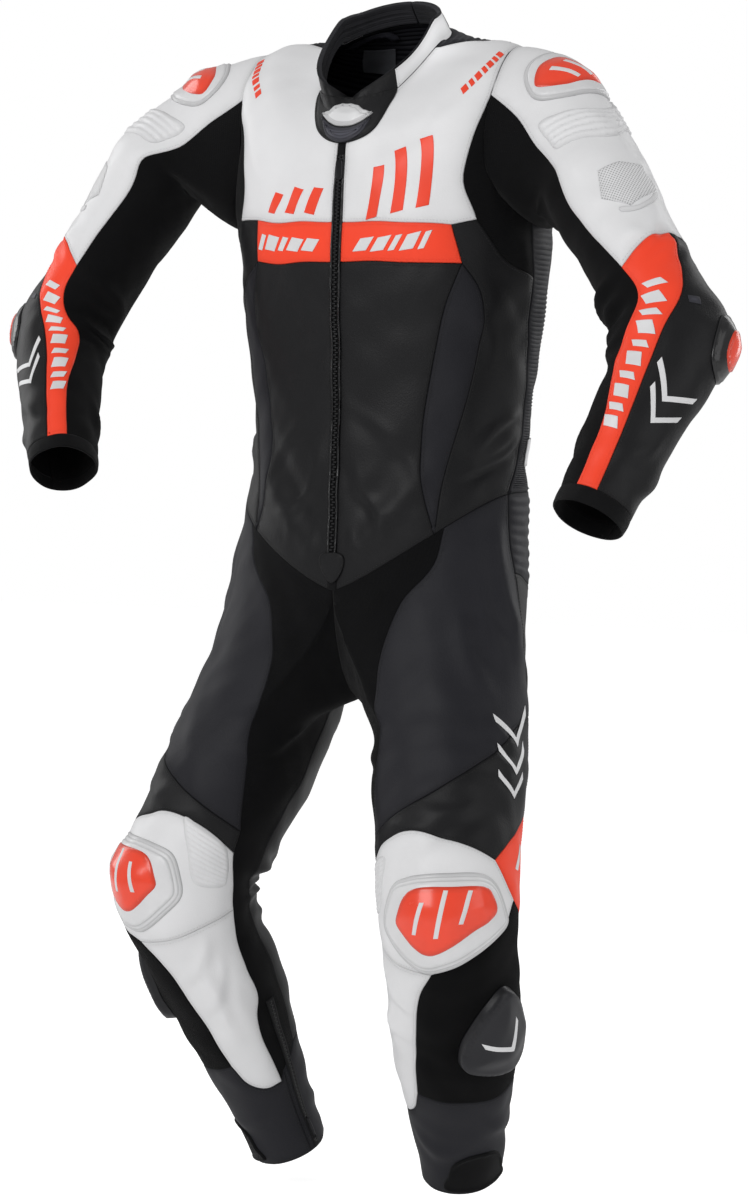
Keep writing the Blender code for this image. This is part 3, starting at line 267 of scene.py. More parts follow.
def sleeve(name, phi, s):
    """The sleeve from the armhole seam, s 0, to the cuff."""
    side = side_of(name)
    phi, s = np.broadcast_arrays(np.asarray(phi, float), np.asarray(s, float))
    body, _ = tube(name, phi, s)
    angle, t = armhole_place(phi)
    seam = torso(side * angle, t)
    ring, along = tube(name, phi, np.full_like(s, CAP["arm"]))
    top = (1 + np.cos(np.radians(phi))) / 2
    leaving = unit(np.stack([side * (0.62 + 0.38 * top), np.full_like(top, -0.05), 0.62 * top - 0.70], -1))
    reach = np.linalg.norm(ring - seam, axis=-1)
    cap = hermite(
        seam,
        leaving * (reach * (0.9 + 0.35 * top))[..., None],
        ring,
        along * (reach * (1.0 + 0.15 * top))[..., None],
        np.clip(s / CAP["arm"], 0, 1),
    )
    return np.where((s < CAP["arm"])[..., None], cap, body)


def waist_angle(phi):
    """The torso angle above a leg's angle on the waist seam."""
    return (phi + 50.0) * 180.0 / 280.0


def leg_seam(side, phi):
    """A leg's top edge: half of the waist seam, then the crotch seam from back to front."""
    phi = (phi + 50.0) % 360.0 - 50.0
    outer = torso(side * np.clip(waist_angle(phi), 0, 180), WAIST_T)
    y, z = smooth(CROTCH, "y", phi), smooth(CROTCH, "z", phi)
    inner = np.stack([np.zeros_like(y), y, z], -1)
    return np.where((phi < CROTCH_START)[..., None], outer, inner)


def leg(name, phi, s):
    """The leg from the waist and crotch seam, s 0, to the ankle hem."""
    side = side_of(name)
    phi, s = np.broadcast_arrays(np.asarray(phi, float), np.asarray(s, float))
    body, _ = tube(name, phi, s)
    seam = leg_seam(side, phi)
    ring, along = tube(name, phi, np.full_like(s, CAP["leg"]))
    turn = (phi + 50.0) % 360.0 - 50.0
    outer, rear, up = (smooth(HIP_LEAVING, column, turn) for column in ("outer", "rear", "up"))
    leaving = unit(np.stack([side * outer, rear, up], -1))
    reach = np.linalg.norm(ring - seam, axis=-1)
    cap = hermite(
        seam,
        leaving * (reach * smooth(HIP_LEAVING, "reach", turn))[..., None],
        ring,
        along * (reach * 0.9)[..., None],
        np.clip(s / CAP["leg"], 0, 1),
    )
    return np.where((s < CAP["leg"])[..., None], cap, body)


# ---------------------------------------------------------------- large folds

FOLDS = {  # soft ridges, and troughs where the height is below 0, from one place to another
    "torso": (
        # angle  t   angle  t  height width
        (8, 540, 40, 470, 3.5, 16),
        (6, 520, 34, 420, -3.0, 15),
        (62, 470, 88, 415, 3.5, 15),
        (60, 500, 90, 452, -3.5, 15),
        (58, 232, 84, 300, -3.5, 16),
        (126, 420, 180, 450, 3.5, 16),
        (120, 370, 170, 395, -3.5, 16),
        (128, 300, 150, 360, 3.0, 18),
    ),
    "arm": (
        (120, 235, 205, 255, 4.0, 14),
        (110, 275, 215, 290, -4.5, 14),
        (125, 318, 210, 318, 4.0, 14),
        (150, 60, 205, 90, 3.5, 16),
        (250, 120, 300, 190, 3.0, 16),
    ),
    "leg": (
        (60, 40, 80, 150, 3.5, 18),
        (30, 60, 44, 150, -3.0, 18),
        (-30, 240, 50, 235, 3.5, 15),
        (120, 330, 240, 330, -6.0, 15),
        (125, 296, 235, 300, 4.5, 15),
        (125, 368, 235, 372, 4.5, 15),
        (150, 110, 220, 70, 4.0, 20),
        (-60, 430, -85, 540, 3.0, 16),
        (160, 590, 240, 600, 3.0, 15),
    ),
}
FOLD_FADE = 45.0  # folds die out this near to a border between surfaces
# Millimetres of cloth to a degree.
DEGREE = {"torso": 2.6, "arm": 0.98, "leg": 1.35, "collar": 1.35, "throat": 1.7}


def kind_of(surface):
    return surface.split("_")[0]


def from_line(kind, u, v, line):
    """Places as millimetres from the start of a line between two places, with the line's run and length."""
    u0, v0, u1, v1 = line
    turns = np.round((np.asarray(u) - (u0 + u1) / 2) / 360.0) * 360.0
    along = np.array([(u1 - u0) * DEGREE[kind], v1 - v0])
    return (u - turns - u0) * DEGREE[kind], v - v0, along, np.linalg.norm(along)


def fold_height(surface, u, v):
    """How far the large folds move a place outwards."""
    kind = kind_of(surface)
    height = np.zeros(np.broadcast(u, v).shape)
    for *line, rise, width in FOLDS[kind]:
        x, y, along, length = from_line(kind, u, v, line)
        p = np.clip((x * along[0] + y * along[1]) / length**2, 0, 1)
        apart = np.hypot(x - p * along[0], y - p * along[1])
        height = height + rise * np.exp(-((apart / width) ** 2)) * np.sin(np.pi * (0.12 + 0.76 * p))
    if kind == "torso":
        return height * ease((WAIST_T - v) / FOLD_FADE) * ease(v / FOLD_FADE)
    return height * ease(v / FOLD_FADE)


def base_point(surface, u, v):
    if surface.startswith("torso"):
        return torso(side_of(surface) * np.asarray(u, float), np.asarray(v, float))
    return (sleeve if surface.startswith("arm") else leg)(surface, u, v)


def outward(surface, u, v):
    """Unit normals of the surface before its folds."""
    u, v = np.broadcast_arrays(np.asarray(u, float), np.asarray(v, float))
    low, high = SPANS[kind_of(surface)]
    across = base_point(surface, u + 0.5, v) - base_point(surface, u - 0.5, v)
    below, above = np.clip(v + 1, low, high), np.clip(v - 1, low, high)
    down = base_point(surface, u, below) - base_point(surface, u, above)
    way = -side_of(surface) if surface.startswith("arm") else side_of(surface)
    return unit(np.cross(down, across)) * way


# ---------------------------------------------------------------- seams

def zip_angle(t):
    return float(np.degrees(np.arcsin(ZIP_HALF / smooth(TORSO, "half", t))))


NECK_STOPS = (0.0, zip_angle(NECK_T), 80.0, 180.0)
WAIST_STOPS = (0.0, zip_angle(WAIST_T), 42.0, 46.3, 82.0, 112.0, 180.0)
ARMHOLE_STOPS = (-70.0, -60.0, -25.0, 58.0, 168.0, 215.0, 290.0, 300.0)
ARMHOLE_AT = {  # the torso's seam ends on the armhole's ring, in degrees round it
    "shoulder": -25.0,
    "chest_top": 58.0,
    "armpit_front": 168.0,
    "armpit_rear": 215.0,
    "blade": 290.0,
}
CROTCH_STOPS = (230.0, 238.0, 262.0, 310.0)


def hip_angle(angle):
    """The leg's angle under a torso angle on the waist seam."""
    return angle * 280.0 / 180.0 - 50.0


TORSO_POINTS = {
    "neck_zip": (zip_angle(NECK_T), NECK_T),
    "chest_zip": (zip_angle(167.0), 167.0),
    "band_zip": (zip_angle(219.0), 219.0),
    "waist_zip": (zip_angle(WAIST_T), WAIST_T),
    "neck_side": (80.0, NECK_T),
    "neck_back": (180.0, NECK_T),
    "shoulder": armhole_place(-25.0),
    "chest_top": armhole_place(58.0),
    "armpit_front": armhole_place(168.0),
    "armpit_rear": armhole_place(215.0),
    "blade": armhole_place(290.0),
    "chest_corner": (52.0, 201.0),
    "band_top": (42.0, 199.0),
    "band_low": (47.0, 236.0),
    "flank_top": (88.0, 256.0),
    "waist_front": (42.0, WAIST_T),
    "waist_side": (82.0, WAIST_T),
    "waist_rear": (112.0, WAIST_T),
    "waist_back": (180.0, WAIST_T),
    "yoke_back": (180.0, 168.0),
}
RIGHT_POINTS = {"band_top": (36.0, 189.0), "band_low": (37.0, 227.0), "chest_corner": (49.0, 198.0)}
TORSO_SEAMS = {
    "neck_front": ("neck_zip", "neck", "neck_side"),
    "neck_rear": ("neck_side", "neck", "neck_back"),
    "zip_chest": ("neck_zip", "zip", "chest_zip"),
    "zip_band": ("chest_zip", "zip", "band_zip"),
    "zip_front": ("band_zip", "zip", "waist_zip"),
    "shoulder_seam": ("neck_side", (88, 40), (98, 72), "shoulder"),
    "armhole_chest": ("shoulder", "armhole", "chest_top"),
    "armhole_side": ("chest_top", "armhole", "armpit_front"),
    "armhole_flank": ("armpit_front", "armhole", "armpit_rear"),
    "armhole_back": ("armpit_rear", "armhole", "blade"),
    "armhole_yoke": ("blade", "armhole", "shoulder"),
    "chest_edge": ("chest_top", (50, 142), (46, 163), "chest_corner"),
    "chest_hem": ("band_top", "chest_corner"),
    "band_head": ("chest_zip", (13, 171), (25, 183), "band_top"),
    "band_end": ("band_top", "band_low"),
    "band_foot": ("band_zip", (13, 220), (25, 226), "band_low"),
    "front_seam": ("band_low", (42, 271), (39, 322), (36, 455), "waist_front"),
    "leaf_seam": ("band_low", (56, 268), (58, 290), (57, 326), (49, 440), "waist_front"),
    "gusset_seam": ("chest_corner", (67, 238), "flank_top"),
    "flank_upper": ("armpit_front", "flank_top"),
    "flank_lower": ("flank_top", (89, 310), (93, 366), (94, 445), (89, 510), "waist_side"),
    "flank_rear": ("armpit_rear", (116, 260), (113, 350), (113, 450), "waist_rear"),
    "yoke_seam": ("blade", (145, 150), "yoke_back"),
    "waist_center": ("waist_zip", "waist", "waist_front"),
    "waist_hip": ("waist_front", "waist", "waist_side"),
    "waist_flank": ("waist_side", "waist", "waist_rear"),
    "waist_seat": ("waist_rear", "waist", "waist_back"),
}
TORSO_PANELS = {
    "chest": "zip_chest neck_front shoulder_seam armhole_chest chest_edge chest_hem band_head",
    "band": "zip_band band_head band_end band_foot",
    "front": "zip_front band_foot front_seam waist_center",
    "leaf": "front_seam leaf_seam",
    "side_front": "band_end chest_hem gusset_seam flank_lower waist_hip leaf_seam",
    "side_stretch": "chest_edge armhole_side flank_upper gusset_seam",
    "flank": "armhole_flank flank_rear waist_flank flank_lower flank_upper",
}

ARM_POINTS = {
    "cap_front": (58.0, 0.0),
    "cap_rear": (-60.0, 0.0),
    "cap_rear_again": (300.0, 0.0),
    "stripe_head": (113.0, 232.0),
    "stripe_back": (38.0, 206.0),
    "sleeve_rear": (-60.0, 248.0),
    "cuff_inner": (108.0, CUFF_S),
    "cuff_outer": (74.0, CUFF_S),
    "cuff_rear": (-60.0, CUFF_S),
    "end_rear": (-60.0, ARM_END),
    "cuff_rear_again": (300.0, CUFF_S),
    "end_rear_again": (300.0, ARM_END),
}
ARM_SEAMS = {
    "cap_outer": ("cap_rear", "armhole", "cap_front"),
    "cap_inner": ("cap_front", "armhole", "cap_rear_again"),
    "sleeve_front": (
        "cap_front", (68, 22), (90, 48), (121, 82), (134, 118), (131, 160), (123, 196), "stripe_head",
    ),
    "sleeve_foot": ("stripe_head", (80, 216), "stripe_back"),
    "elbow_head": ("stripe_back", (0, 214), (-30, 234), "sleeve_rear"),
    "sleeve_back": ("cap_rear", (-60, 120), "sleeve_rear"),
    "forearm_back": ("sleeve_rear", (-62, 380), "cuff_rear"),
    "stripe_inner": (
        "stripe_head", (106, 268), (118, 305), (131, 345), (124, 385), (112, 425), (108, 470), "cuff_inner",
    ),
    "stripe_outer": ("stripe_back", (46, 245), (56, 268), (79, 315), (82, 360), (78, 430), "cuff_outer"),
    "cuff_forearm": ("cuff_rear", "ring", "cuff_outer"),
    "cuff_stripe": ("cuff_outer", "ring", "cuff_inner"),
    "cuff_sleeve": ("cuff_inner", "ring", "cuff_rear_again"),
    "end_ring": ("end_rear", "ring", "end_rear_again"),
    "cuff_open": ("cuff_rear", "end_rear"),
    "cuff_close": ("cuff_rear_again", "end_rear_again"),
}
ARM_PANELS = {
    "sleeve_outer": "cap_outer sleeve_front sleeve_foot elbow_head sleeve_back",
    "sleeve_inner": "cap_inner sleeve_front stripe_inner cuff_sleeve forearm_back sleeve_back",
    "sleeve_stripe": "sleeve_foot stripe_inner cuff_stripe stripe_outer",
    "forearm": "elbow_head forearm_back cuff_forearm stripe_outer",
    "cuff": "cuff_forearm cuff_stripe cuff_sleeve cuff_close end_ring cuff_open",
}

LEG_POINTS = {
    "front_centre": (-50.0, 0.0),
    "stretch_top": (hip_angle(46.3), 0.0),
    "hip": (hip_angle(82.0), 0.0),
    "back_centre": (230.0, 0.0),
    "seat_top": (238.0, 0.0),
    "crotch_rear": (262.0, 0.0),
    "lumbar_low": (79.0, 58.0),
    "thigh_side": (96.0, 150.0),
    "flash_side": (100.0, 236.0),
    "flash_tip": (46.0, 306.0),
    "knee_side": (100.0, 358.0),
    "knee_outer": (72.0, 338.0),
    "knee_low": (-10.0, 389.0),
    "knee_inner": (-102.0, 374.0),
    "thigh_inner": (-88.0, 274.0),
    "knee_top": (-91.0, 299.0),
    "shin_foot": (-38.0, 553.0),
    "white_foot": (-90.0, 592.0),
    "side_foot": (98.0, 560.0),
    "calf_foot": (232.0, 562.0),
    "zip_head": (263.0, 582.0),
    "zip_hem": (265.0, LEG_END),
    "zip_head_again": (-97.0, 582.0),
    "zip_hem_again": (-95.0, LEG_END),
}
LEG_SEAMS = {
    "top_inner": ("front_centre", "waist", "stretch_top"),
    "top_front": ("stretch_top", "waist", "hip"),
    "top_seat": ("hip", "waist", "back_centre"),
    "crotch_lumbar": ("back_centre", "crotch", "seat_top"),
    "crotch_seat": ("seat_top", "crotch", "crotch_rear"),
    "crotch_inner": ("crotch_rear", "crotch", "front_centre"),
    "lumbar_front": ("hip", (76, 30), "lumbar_low"),
    "lumbar_foot": ("lumbar_low", (150, 62), (205, 52), (228, 34), "seat_top"),
    "side_upper": ("lumbar_low", (88, 108), "thigh_side"),
    "side_thigh": ("thigh_side", "flash_side"),
    "side_flash": ("flash_side", (101, 300), "knee_side"),
    "side_shin": ("knee_side", (100, 450), "side_foot"),
    "stretch_seam": (
        "stretch_top", (14, 26), (-9, 46), (-26, 78), (-46, 131), (-64, 190), (-79, 246), "thigh_inner",
    ),
    "stretch_knee": ("thigh_inner", "knee_top"),
    "thigh_seam": ("thigh_side", (58, 172), (35, 200), (-14, 248), (-55, 266), "thigh_inner"),
    "flash_edge": ("flash_side", (72, 270), "flash_tip"),
    "knee_arc": ("knee_top", (-62, 286), (-28, 282), (5, 292), "flash_tip"),
    "knee_corner": ("flash_tip", (59, 322), "knee_outer"),
    "flash_foot": ("knee_outer", "knee_side"),
    "knee_foot": ("knee_outer", (55, 360), (22, 374), "knee_low"),
    "knee_shin": ("knee_low", (-50, 388), "knee_inner"),
    "knee_back": ("knee_top", (-101, 338), "knee_inner"),
    "white_inner": ("knee_inner", (-97, 450), (-97, 490), (-91, 502), "white_foot"),
    "white_outer": ("knee_low", (-21, 409), (-30, 464), "shin_foot"),
    "white_end": ("shin_foot", (-46, 576), (-64, 590), "white_foot"),
    "patch_foot": ("shin_foot", (40, 562), "side_foot"),
    "calf_end": ("side_foot", (160, 556), "calf_foot"),
    "inner_end": ("calf_foot", "zip_head"),
    "inner_end_front": ("zip_head_again", "white_foot"),
    "back_seam": ("crotch_rear", (252, 60), (244, 140), (240, 250), (236, 330), (234, 420), "calf_foot"),
    "ankle_open": ("zip_head", "zip_hem"),
    "ankle_close": ("zip_head_again", "zip_hem_again"),
    "hem": ("zip_hem_again", "ring", "zip_hem"),
}
LEG_PANELS = {
    "lumbar_ribs": "top_seat crotch_lumbar lumbar_foot lumbar_front",
    "thigh_front": "top_front lumbar_front side_upper thigh_seam stretch_seam",
    "thigh_lower": "thigh_seam side_thigh flash_edge knee_arc stretch_knee",
    "knee_flash": "flash_edge side_flash flash_foot knee_corner",
    "knee": "knee_arc knee_corner knee_foot knee_shin knee_back",
    "shin_white": "knee_shin white_outer white_end white_inner",
    "shin_patch": "knee_foot flash_foot side_shin patch_foot white_outer",
    "leg_back": "lumbar_foot crotch_seat back_seam calf_end side_shin side_flash side_thigh side_upper",
    "leg_inner": "top_inner stretch_seam stretch_knee knee_back white_inner inner_end_front inner_end"
    " back_seam crotch_inner",
    "ankle": "patch_foot calf_end inner_end ankle_open hem ankle_close inner_end_front white_end",
}
SAME_POINT = {"zip_head_again": "zip_head", "cap_rear_again": "cap_rear", "cuff_rear_again": "cuff_rear"}


def stops_between(stops, start, end, step):
    """Angles from start to end that pass every stop between them."""
    low, high = min(start, end), max(start, end)
    kept = [low] + [stop for stop in stops if low + 0.01 < stop < high - 0.01] + [high]
    angles = [low]
    for a, b in zip(kept, kept[1:]):
        count = max(1, int(np.ceil((b - a) / step)))
        angles += [a + (b - a) * (k + 1) / count for k in range(count)]
    return angles if start < end else angles[::-1]


def spline(points, scale, step):
    """Places along a smooth curve through points, about a step apart; the flat sizes use scale."""
    points = np.array(points, float)
    flat = points * (scale, 1)
    steps = np.linalg.norm(np.diff(flat, axis=0), axis=1)
    length = np.concatenate([[0], np.cumsum(steps)])
    if len(points) == 2:
        slopes = np.diff(points, axis=0) / length[-1]
        slopes = np.vstack([slopes, slopes])
    else:
        slopes = np.gradient(points, length, axis=0)
    count = max(1, int(np.ceil(length[-1] / step)))
    at = np.linspace(0, length[-1], count + 1)
    i = np.clip(np.searchsorted(length, at, side="right") - 1, 0, len(points) - 2)
    span = (length[i + 1] - length[i])[:, None]
    w = ((at - length[i]) / span[:, 0])
    return hermite(points[i], slopes[i] * span, points[i + 1], slopes[i + 1] * span, w)


def seam_places(kind, points, route):
    """The places along one seam, and which border between surfaces it lies on, if any."""
    start, end = points[route[0]], points[route[-1]]
    border = route[1] if isinstance(route[1], str) and len(route) == 3 else None
    if border == "neck":
        return [(a, NECK_T) for a in stops_between(NECK_STOPS, start[0], end[0], 4.0)], border
    if border == "waist" and kind == "torso":
        return [(a, WAIST_T) for a in stops_between(WAIST_STOPS, start[0], end[0], 2.0)], border
    if border == "waist":
        stops = stops_between(WAIST_STOPS, waist_angle(start[0]), waist_angle(end[0]), 2.0)
        return [(hip_angle(a), 0.0) for a in stops], border
    if border == "crotch":
        first = start[0]
        last = end[0] if end[0] > 200 else end[0] + 360
        return [(a, 0.0) for a in stops_between(CROTCH_STOPS, first, last, 0.9)], border
    if border == "armhole" and kind == "arm":
        return [(a, 0.0) for a in stops_between(ARMHOLE_STOPS, start[0], end[0], 4.0)], border
    if border == "armhole":
        first, last = ARMHOLE_AT[route[0]], ARMHOLE_AT[route[-1]]
        last = last + 360 if last < first - 180 else last
        stops = ARMHOLE_STOPS + (335.0,)
        return [armhole_place(a) for a in stops_between(stops, first, last, 4.0)], border
    if border == "ring":
        return [(a, start[1]) for a in stops_between((74.0, 108.0), start[0], end[0], 5.0)], None
    if border == "zip":
        count = max(1, int(np.ceil((end[1] - start[1]) / SEAM_STEP)))
        return [(zip_angle(t), t) for t in np.linspace(start[1], end[1], count + 1)], None
    vias = [points[via] if isinstance(via, str) else via for via in route]
    return [tuple(p) for p in spline(vias, DEGREE[kind], SEAM_STEP)], None


def outline(kind, points, seams, names):
    """A panel's loop of places, each with the border that it lies on."""
    def same(name):
        return SAME_POINT.get(name, name)

    loop = []
    names = names.split()
    first, second = seams[names[0]], seams[names[1]]
    ends = (same(second[0]), same(second[-1]))
    at = same(first[0]) if same(first[-1]) in ends else same(first[-1])
    if len(names) == 2:
        at = same(first[0])
    for name in names:
        route = seams[name]
        places, border = seam_places(kind, points, route)
        if same(route[0]) != at:
            places = places[::-1]
        at = same(route[-1]) if same(route[0]) == at else same(route[0])
        if loop:
            turns = round((loop[-1][0] - places[0][0]) / 360.0) * 360.0
            places = [(u + turns, v) for u, v in places]
            loop[-1] = (loop[-1][0], loop[-1][1], loop[-1][2] or border)
            places = places[1:]
        loop += [(u, v, border) for u, v in places]
    closing = loop.pop()
    loop[0] = (loop[0][0], loop[0][1], loop[0][2] or closing[2])
    return loop


def border_depth(surface, u, v, border):
    """The direction in which both walls are deep where two surfaces meet."""
    if surface == "torso_left" and not 0 <= u <= 180:
        return border_depth("torso_right", 360.0 - u if u > 180 else -u, v, border)
    side = side_of(surface)
    end = "_left" if side > 0 else "_right"
    own = outward(surface, u, v)
    if border == "armhole":
        if kind_of(surface) == "arm":
            angle, t = armhole_place(u)
            return unit(own + outward("torso" + end, angle, t))
        middle = (ARMHOLE["top"] + ARMHOLE["low"]) / 2
        reach = (ARMHOLE["low"] - ARMHOLE["top"]) / 2
        phi = np.degrees(np.arctan2((ARMHOLE["angle"] - u) / ARMHOLE["half_angle"], (middle - v) / reach))
        return unit(own + outward("arm" + end, phi, 0.0))
    if border == "waist" and kind_of(surface) == "leg":
        return unit(own + outward("torso" + end, waist_angle(u), WAIST_T))
    if border == "waist":
        return unit(own + outward("leg" + end, hip_angle(u), 0.0))
    if border == "crotch":
        return unit(own * (0, 1, 1))
    return own


CREASE_SHARE = 1.3  # of the heights below
CREASES = {  # by kind or surface: from a place to a place, height and width in millimetres
    "torso": (
        (5, 376, 40, 506, 1.1, 7),
        (6, 420, 33, 524, 1.2, 6),
        (7, 464, 22, 534, 1.3, 5),
        (8, 506, 14, 542, 1.2, 4),
        (58, 215, 84, 240, 1.8, 9),
        (55, 175, 70, 205, 1.6, 9),
        (120, 350, 175, 362, 3.0, 10),
        (118, 400, 170, 425, 3.0, 10),
        (122, 455, 168, 470, 2.6, 10),
        (118, 250, 150, 300, 2.4, 10),
    ),
    "torso_left": (
        (60, 455, 88, 400, 3.0, 9),
        (58, 490, 90, 440, 2.6, 9),
        (52, 285, 66, 330, 1.6, 10),
    ),
    "torso_right": (
        (55, 470, 84, 430, 2.4, 9),
        (60, 250, 84, 290, 1.8, 9),
    ),
    "arm": (
        (54, 196, 92, 226, 2.0, 6),
        (30, 206, 74, 240, 1.8, 6),
        (12, 100, 44, 120, 1.6, 6),
        (14, 190, 34, 236, 1.8, 7),
        (150, 30, 190, 80, 2.6, 9),
        (170, 60, 230, 110, 2.6, 10),
        (128, 235, 200, 262, 3.2, 8),
        (132, 265, 215, 285, 3.4, 8),
        (136, 296, 220, 306, 3.2, 8),
        (134, 330, 210, 326, 3.0, 8),
        (130, 365, 200, 350, 2.4, 9),
        (40, 180, 100, 205, 1.6, 9),
        (90, 195, 30, 222, 1.4, 8),
        (250, 150, 300, 210, 2.4, 10),
        (20, 420, 70, 460, 1.8, 10),
        (-40, 430, 20, 480, 2.0, 10),
        (150, 430, 220, 470, 2.0, 10),
    ),
    "leg": (
        (-74, 392, -30, 440, 1.6, 7),
        (-80, 420, -40, 480, 1.6, 7),
        (62, 20, 74, 110, 2.8, 9),
        (50, 30, 56, 130, 1.8, 9),
        (30, 60, 40, 160, 1.5, 10),
        (34, 168, 60, 186, 2.2, 7),
        (30, 184, 62, 206, 2.0, 7),
        (26, 205, 60, 224, 1.6, 7),
        (-20, 262, 30, 252, 2.4, 9),
        (-50, 272, 10, 268, 2.0, 9),
        (-60, 60, -35, 160, 2.4, 11),
        (-88, 110, -60, 200, 2.4, 11),
        (120, 60, 210, 40, 3.0, 12),
        (130, 110, 215, 80, 3.4, 12),
        (130, 262, 228, 268, 3.4, 9),
        (125, 300, 235, 312, 4.0, 9),
        (125, 338, 235, 340, 4.4, 9),
        (125, 372, 235, 366, 3.8, 9),
        (130, 402, 225, 396, 2.8, 9),
        (-75, 400, -60, 520, 2.0, 11),
        (-48, 420, -58, 500, 1.4, 9),
        (30, 590, 110, 610, 2.2, 10),
        (-60, 610, 20, 628, 1.8, 10),
        (110, 620, 230, 632, 2.4, 10),
        (150, 440, 200, 520, 2.4, 14),
    ),
}


# ---------------------------------------------------------------- the collar's surface

COLLAR = table(  # height and inward lean round the stand collar, which flares out on the wearer's right
    "turn tall lean lean_right",
    (0, 22, 0.42, 0.42),
    (15, 25, 0.24, 0.12),
    (30, 25, 0.12, -0.14),
    (45, 23, 0.08, -0.15),
    (60, 20, 0.06, -0.14),
    (75, 20, 0.08, -0.10),
    (90, 27, 0.10, 0.04),
    (120, 24, 0.12, 0.12),
    (180, 22, 0.14, 0.14),
)
COLLAR_CENTRE = (-30, -22, 0)
COLLAR_TALL = 25.0  # stations up the collar
SPANS = {  # first and last station of each surface
    "torso": (NECK_T, WAIST_T),
    "arm": (0.0, ARM_END),
    "leg": (0.0, LEG_END),
    "collar": (-5.0, COLLAR_TALL + 5.0),
    "throat": (-COLLAR_TALL, 90.0),
}


def collar(angle, v):
    """The stand collar over the neck seam, from station 0 to COLLAR_TALL at its rim."""
    angle, v = np.broadcast_arrays(np.asarray(angle, float), np.asarray(v, float))
    height = v / COLLAR_TALL
    base = torso(angle, NECK_T)
    turn = (angle + 180) % 360 - 180
    away = (base - np.array(COLLAR_CENTRE, float)) * (1, 1, 0)
    columns = ("lean_right", "lean", "tall")
    lean_right, lean, tall = (smooth(COLLAR, column, np.abs(turn)) for column in columns)
    point = base - away * (np.where(turn < 0, lean_right, lean) * height)[..., None]
    point[..., 2] += tall * height
    return point


# ---------------------------------------------------------------- creases and soft unevenness

RIPPLES = (  # way the wave runs, its length and height in millimetres
    ((0.9, 0.1, 0.4), 58, 0.45),
    ((-0.3, 0.6, 0.75), 47, 0.40),
    ((0.5, -0.7, 0.5), 36, 0.28),
    ((0.2, 0.5, -0.85), 71, 0.55),
    ((-0.8, 0.3, 0.5), 29, 0.16),
    ((0.1, 0.95, 0.2), 41, 0.30),
)


def ripple(points):
    """A slow unevenness of hand-filled cloth, the same for every panel that meets at a place."""
    total = np.zeros(points.shape[:-1])
    for k, (way, length, height) in enumerate(RIPPLES):
        phase = points @ (unit(np.array(way)) * 2 * np.pi / length) + 1.7 * k
        total += height * np.sin(phase + 1.3 * np.sin(phase * 0.37 + k))
    return total


def crease_height(surface, u, v):
    """How far the small folds move a place outwards: each is a ridge with a trough beside it."""
    kind = kind_of(surface)
    total = np.zeros(np.broadcast(u, v).shape)
    for *line, rise, width in CREASES[kind] + CREASES.get(surface, ()):
        x, y, along, length = from_line(kind, u, v, line)
        p = (x * along[0] + y * along[1]) / length**2
        off = (y * along[0] - x * along[1]) / length
        bow = 0.12 * length if int(abs(line[0]) + line[1]) % 2 else -0.12 * length
        off = off + bow * np.sin(np.pi * np.clip(p, 0, 1))
        ends = ease((p + 0.15) / 0.45) * ease((1.15 - p) / 0.45)
        ridge = np.exp(-((off / width) ** 2))
        trough = np.exp(-(((off - 1.7 * width) / (1.2 * width)) ** 2))
        total = total + CREASE_SHARE * rise * (ridge - 0.55 * trough) * ends
    return total


def lay(surface, u, v, lift=0.0):
    """Points of the surface with all its folds, moved out by lift, and the unit normals before folds."""
    u, v = np.broadcast_arrays(np.asarray(u, float), np.asarray(v, float))
    if surface == "throat":  # over the neck seam: the chest below 0, the collar above
        low, low_way = lay("torso_left", u, np.maximum(v, 0.0))
        spread = ease(-v / 8.0)  # the collar's crease at the front is bridged
        nearby = [lay("collar", u + turn * spread, np.maximum(-v, 0.0)) for turn in (-9, -4.5, 0, 4.5, 9)]
        high, high_way = sum(point for point, _ in nearby) / 5, unit(sum(way for _, way in nearby))
        share = ease((v + 7.0) / 14.0)[..., None]
        way = unit(low_way * share + high_way * (1 - share))
        return np.where(v[..., None] > 0, low, high) + way * np.broadcast_to(lift, u.shape)[..., None], way
    if surface == "collar":
        base = collar(u, v)
        normal = unit(np.cross(collar(u + 0.5, v) - collar(u - 0.5, v), collar(u, v + 1) - collar(u, v - 1)))
        return base + normal * np.broadcast_to(lift, u.shape)[..., None], normal
    base = base_point(surface, u, v)
    normal = outward(surface, u, v)
    rise = fold_height(surface, u, v) + crease_height(surface, u, v)
    soft = ripple(base) * ease(v / 40.0)
    if kind_of(surface) == "torso":
        soft = soft * ease((WAIST_T - v) / 40.0)
    return base + normal * (np.broadcast_to(lift, u.shape) + rise + soft)[..., None], normal


# ---------------------------------------------------------------- cutting and laying a piece

def flat_of(kind, u, v):
    v = np.asarray(v, float)
    return np.stack([flat_x(kind, u, v), v], -1)


def flat_x(kind, u, v):
    """Millimetres across the cloth to an angle; the crotch seam is long for the few degrees it spans."""
    u = np.asarray(u, float)
    if kind != "leg":
        return u * DEGREE[kind]
    spread = CROTCH_SPREAD * np.clip(1 - v / CAP["leg"], 0, 1)
    return (u + spread * crotch_share(u)) * DEGREE[kind]


def crotch_share(u):
    """Degrees of the crotch passed on the way to an angle."""
    turns = np.floor((u - CROTCH_START) / 360.0)
    span = CROTCH_END - CROTCH_START
    return span * turns + np.clip(u - CROTCH_START - 360.0 * turns, 0, span)


def angle_at(kind, x, v):
    """The angle that lies x millimetres across."""
    if kind != "leg":
        return np.asarray(x, float) / DEGREE[kind]
    low, high = np.full(np.shape(x), -720.0), np.full(np.shape(x), 1080.0)
    for _ in range(34):
        middle = (low + high) / 2
        past = flat_x(kind, middle, v) > x
        high = np.where(past, middle, high)
        low = np.where(past, low, middle)
    return (low + high) / 2


def signed_area(flat):
    ahead = np.roll(flat, -1, axis=0)
    return float(np.sum(flat[:, 0] * ahead[:, 1] - ahead[:, 0] * flat[:, 1]) / 2)


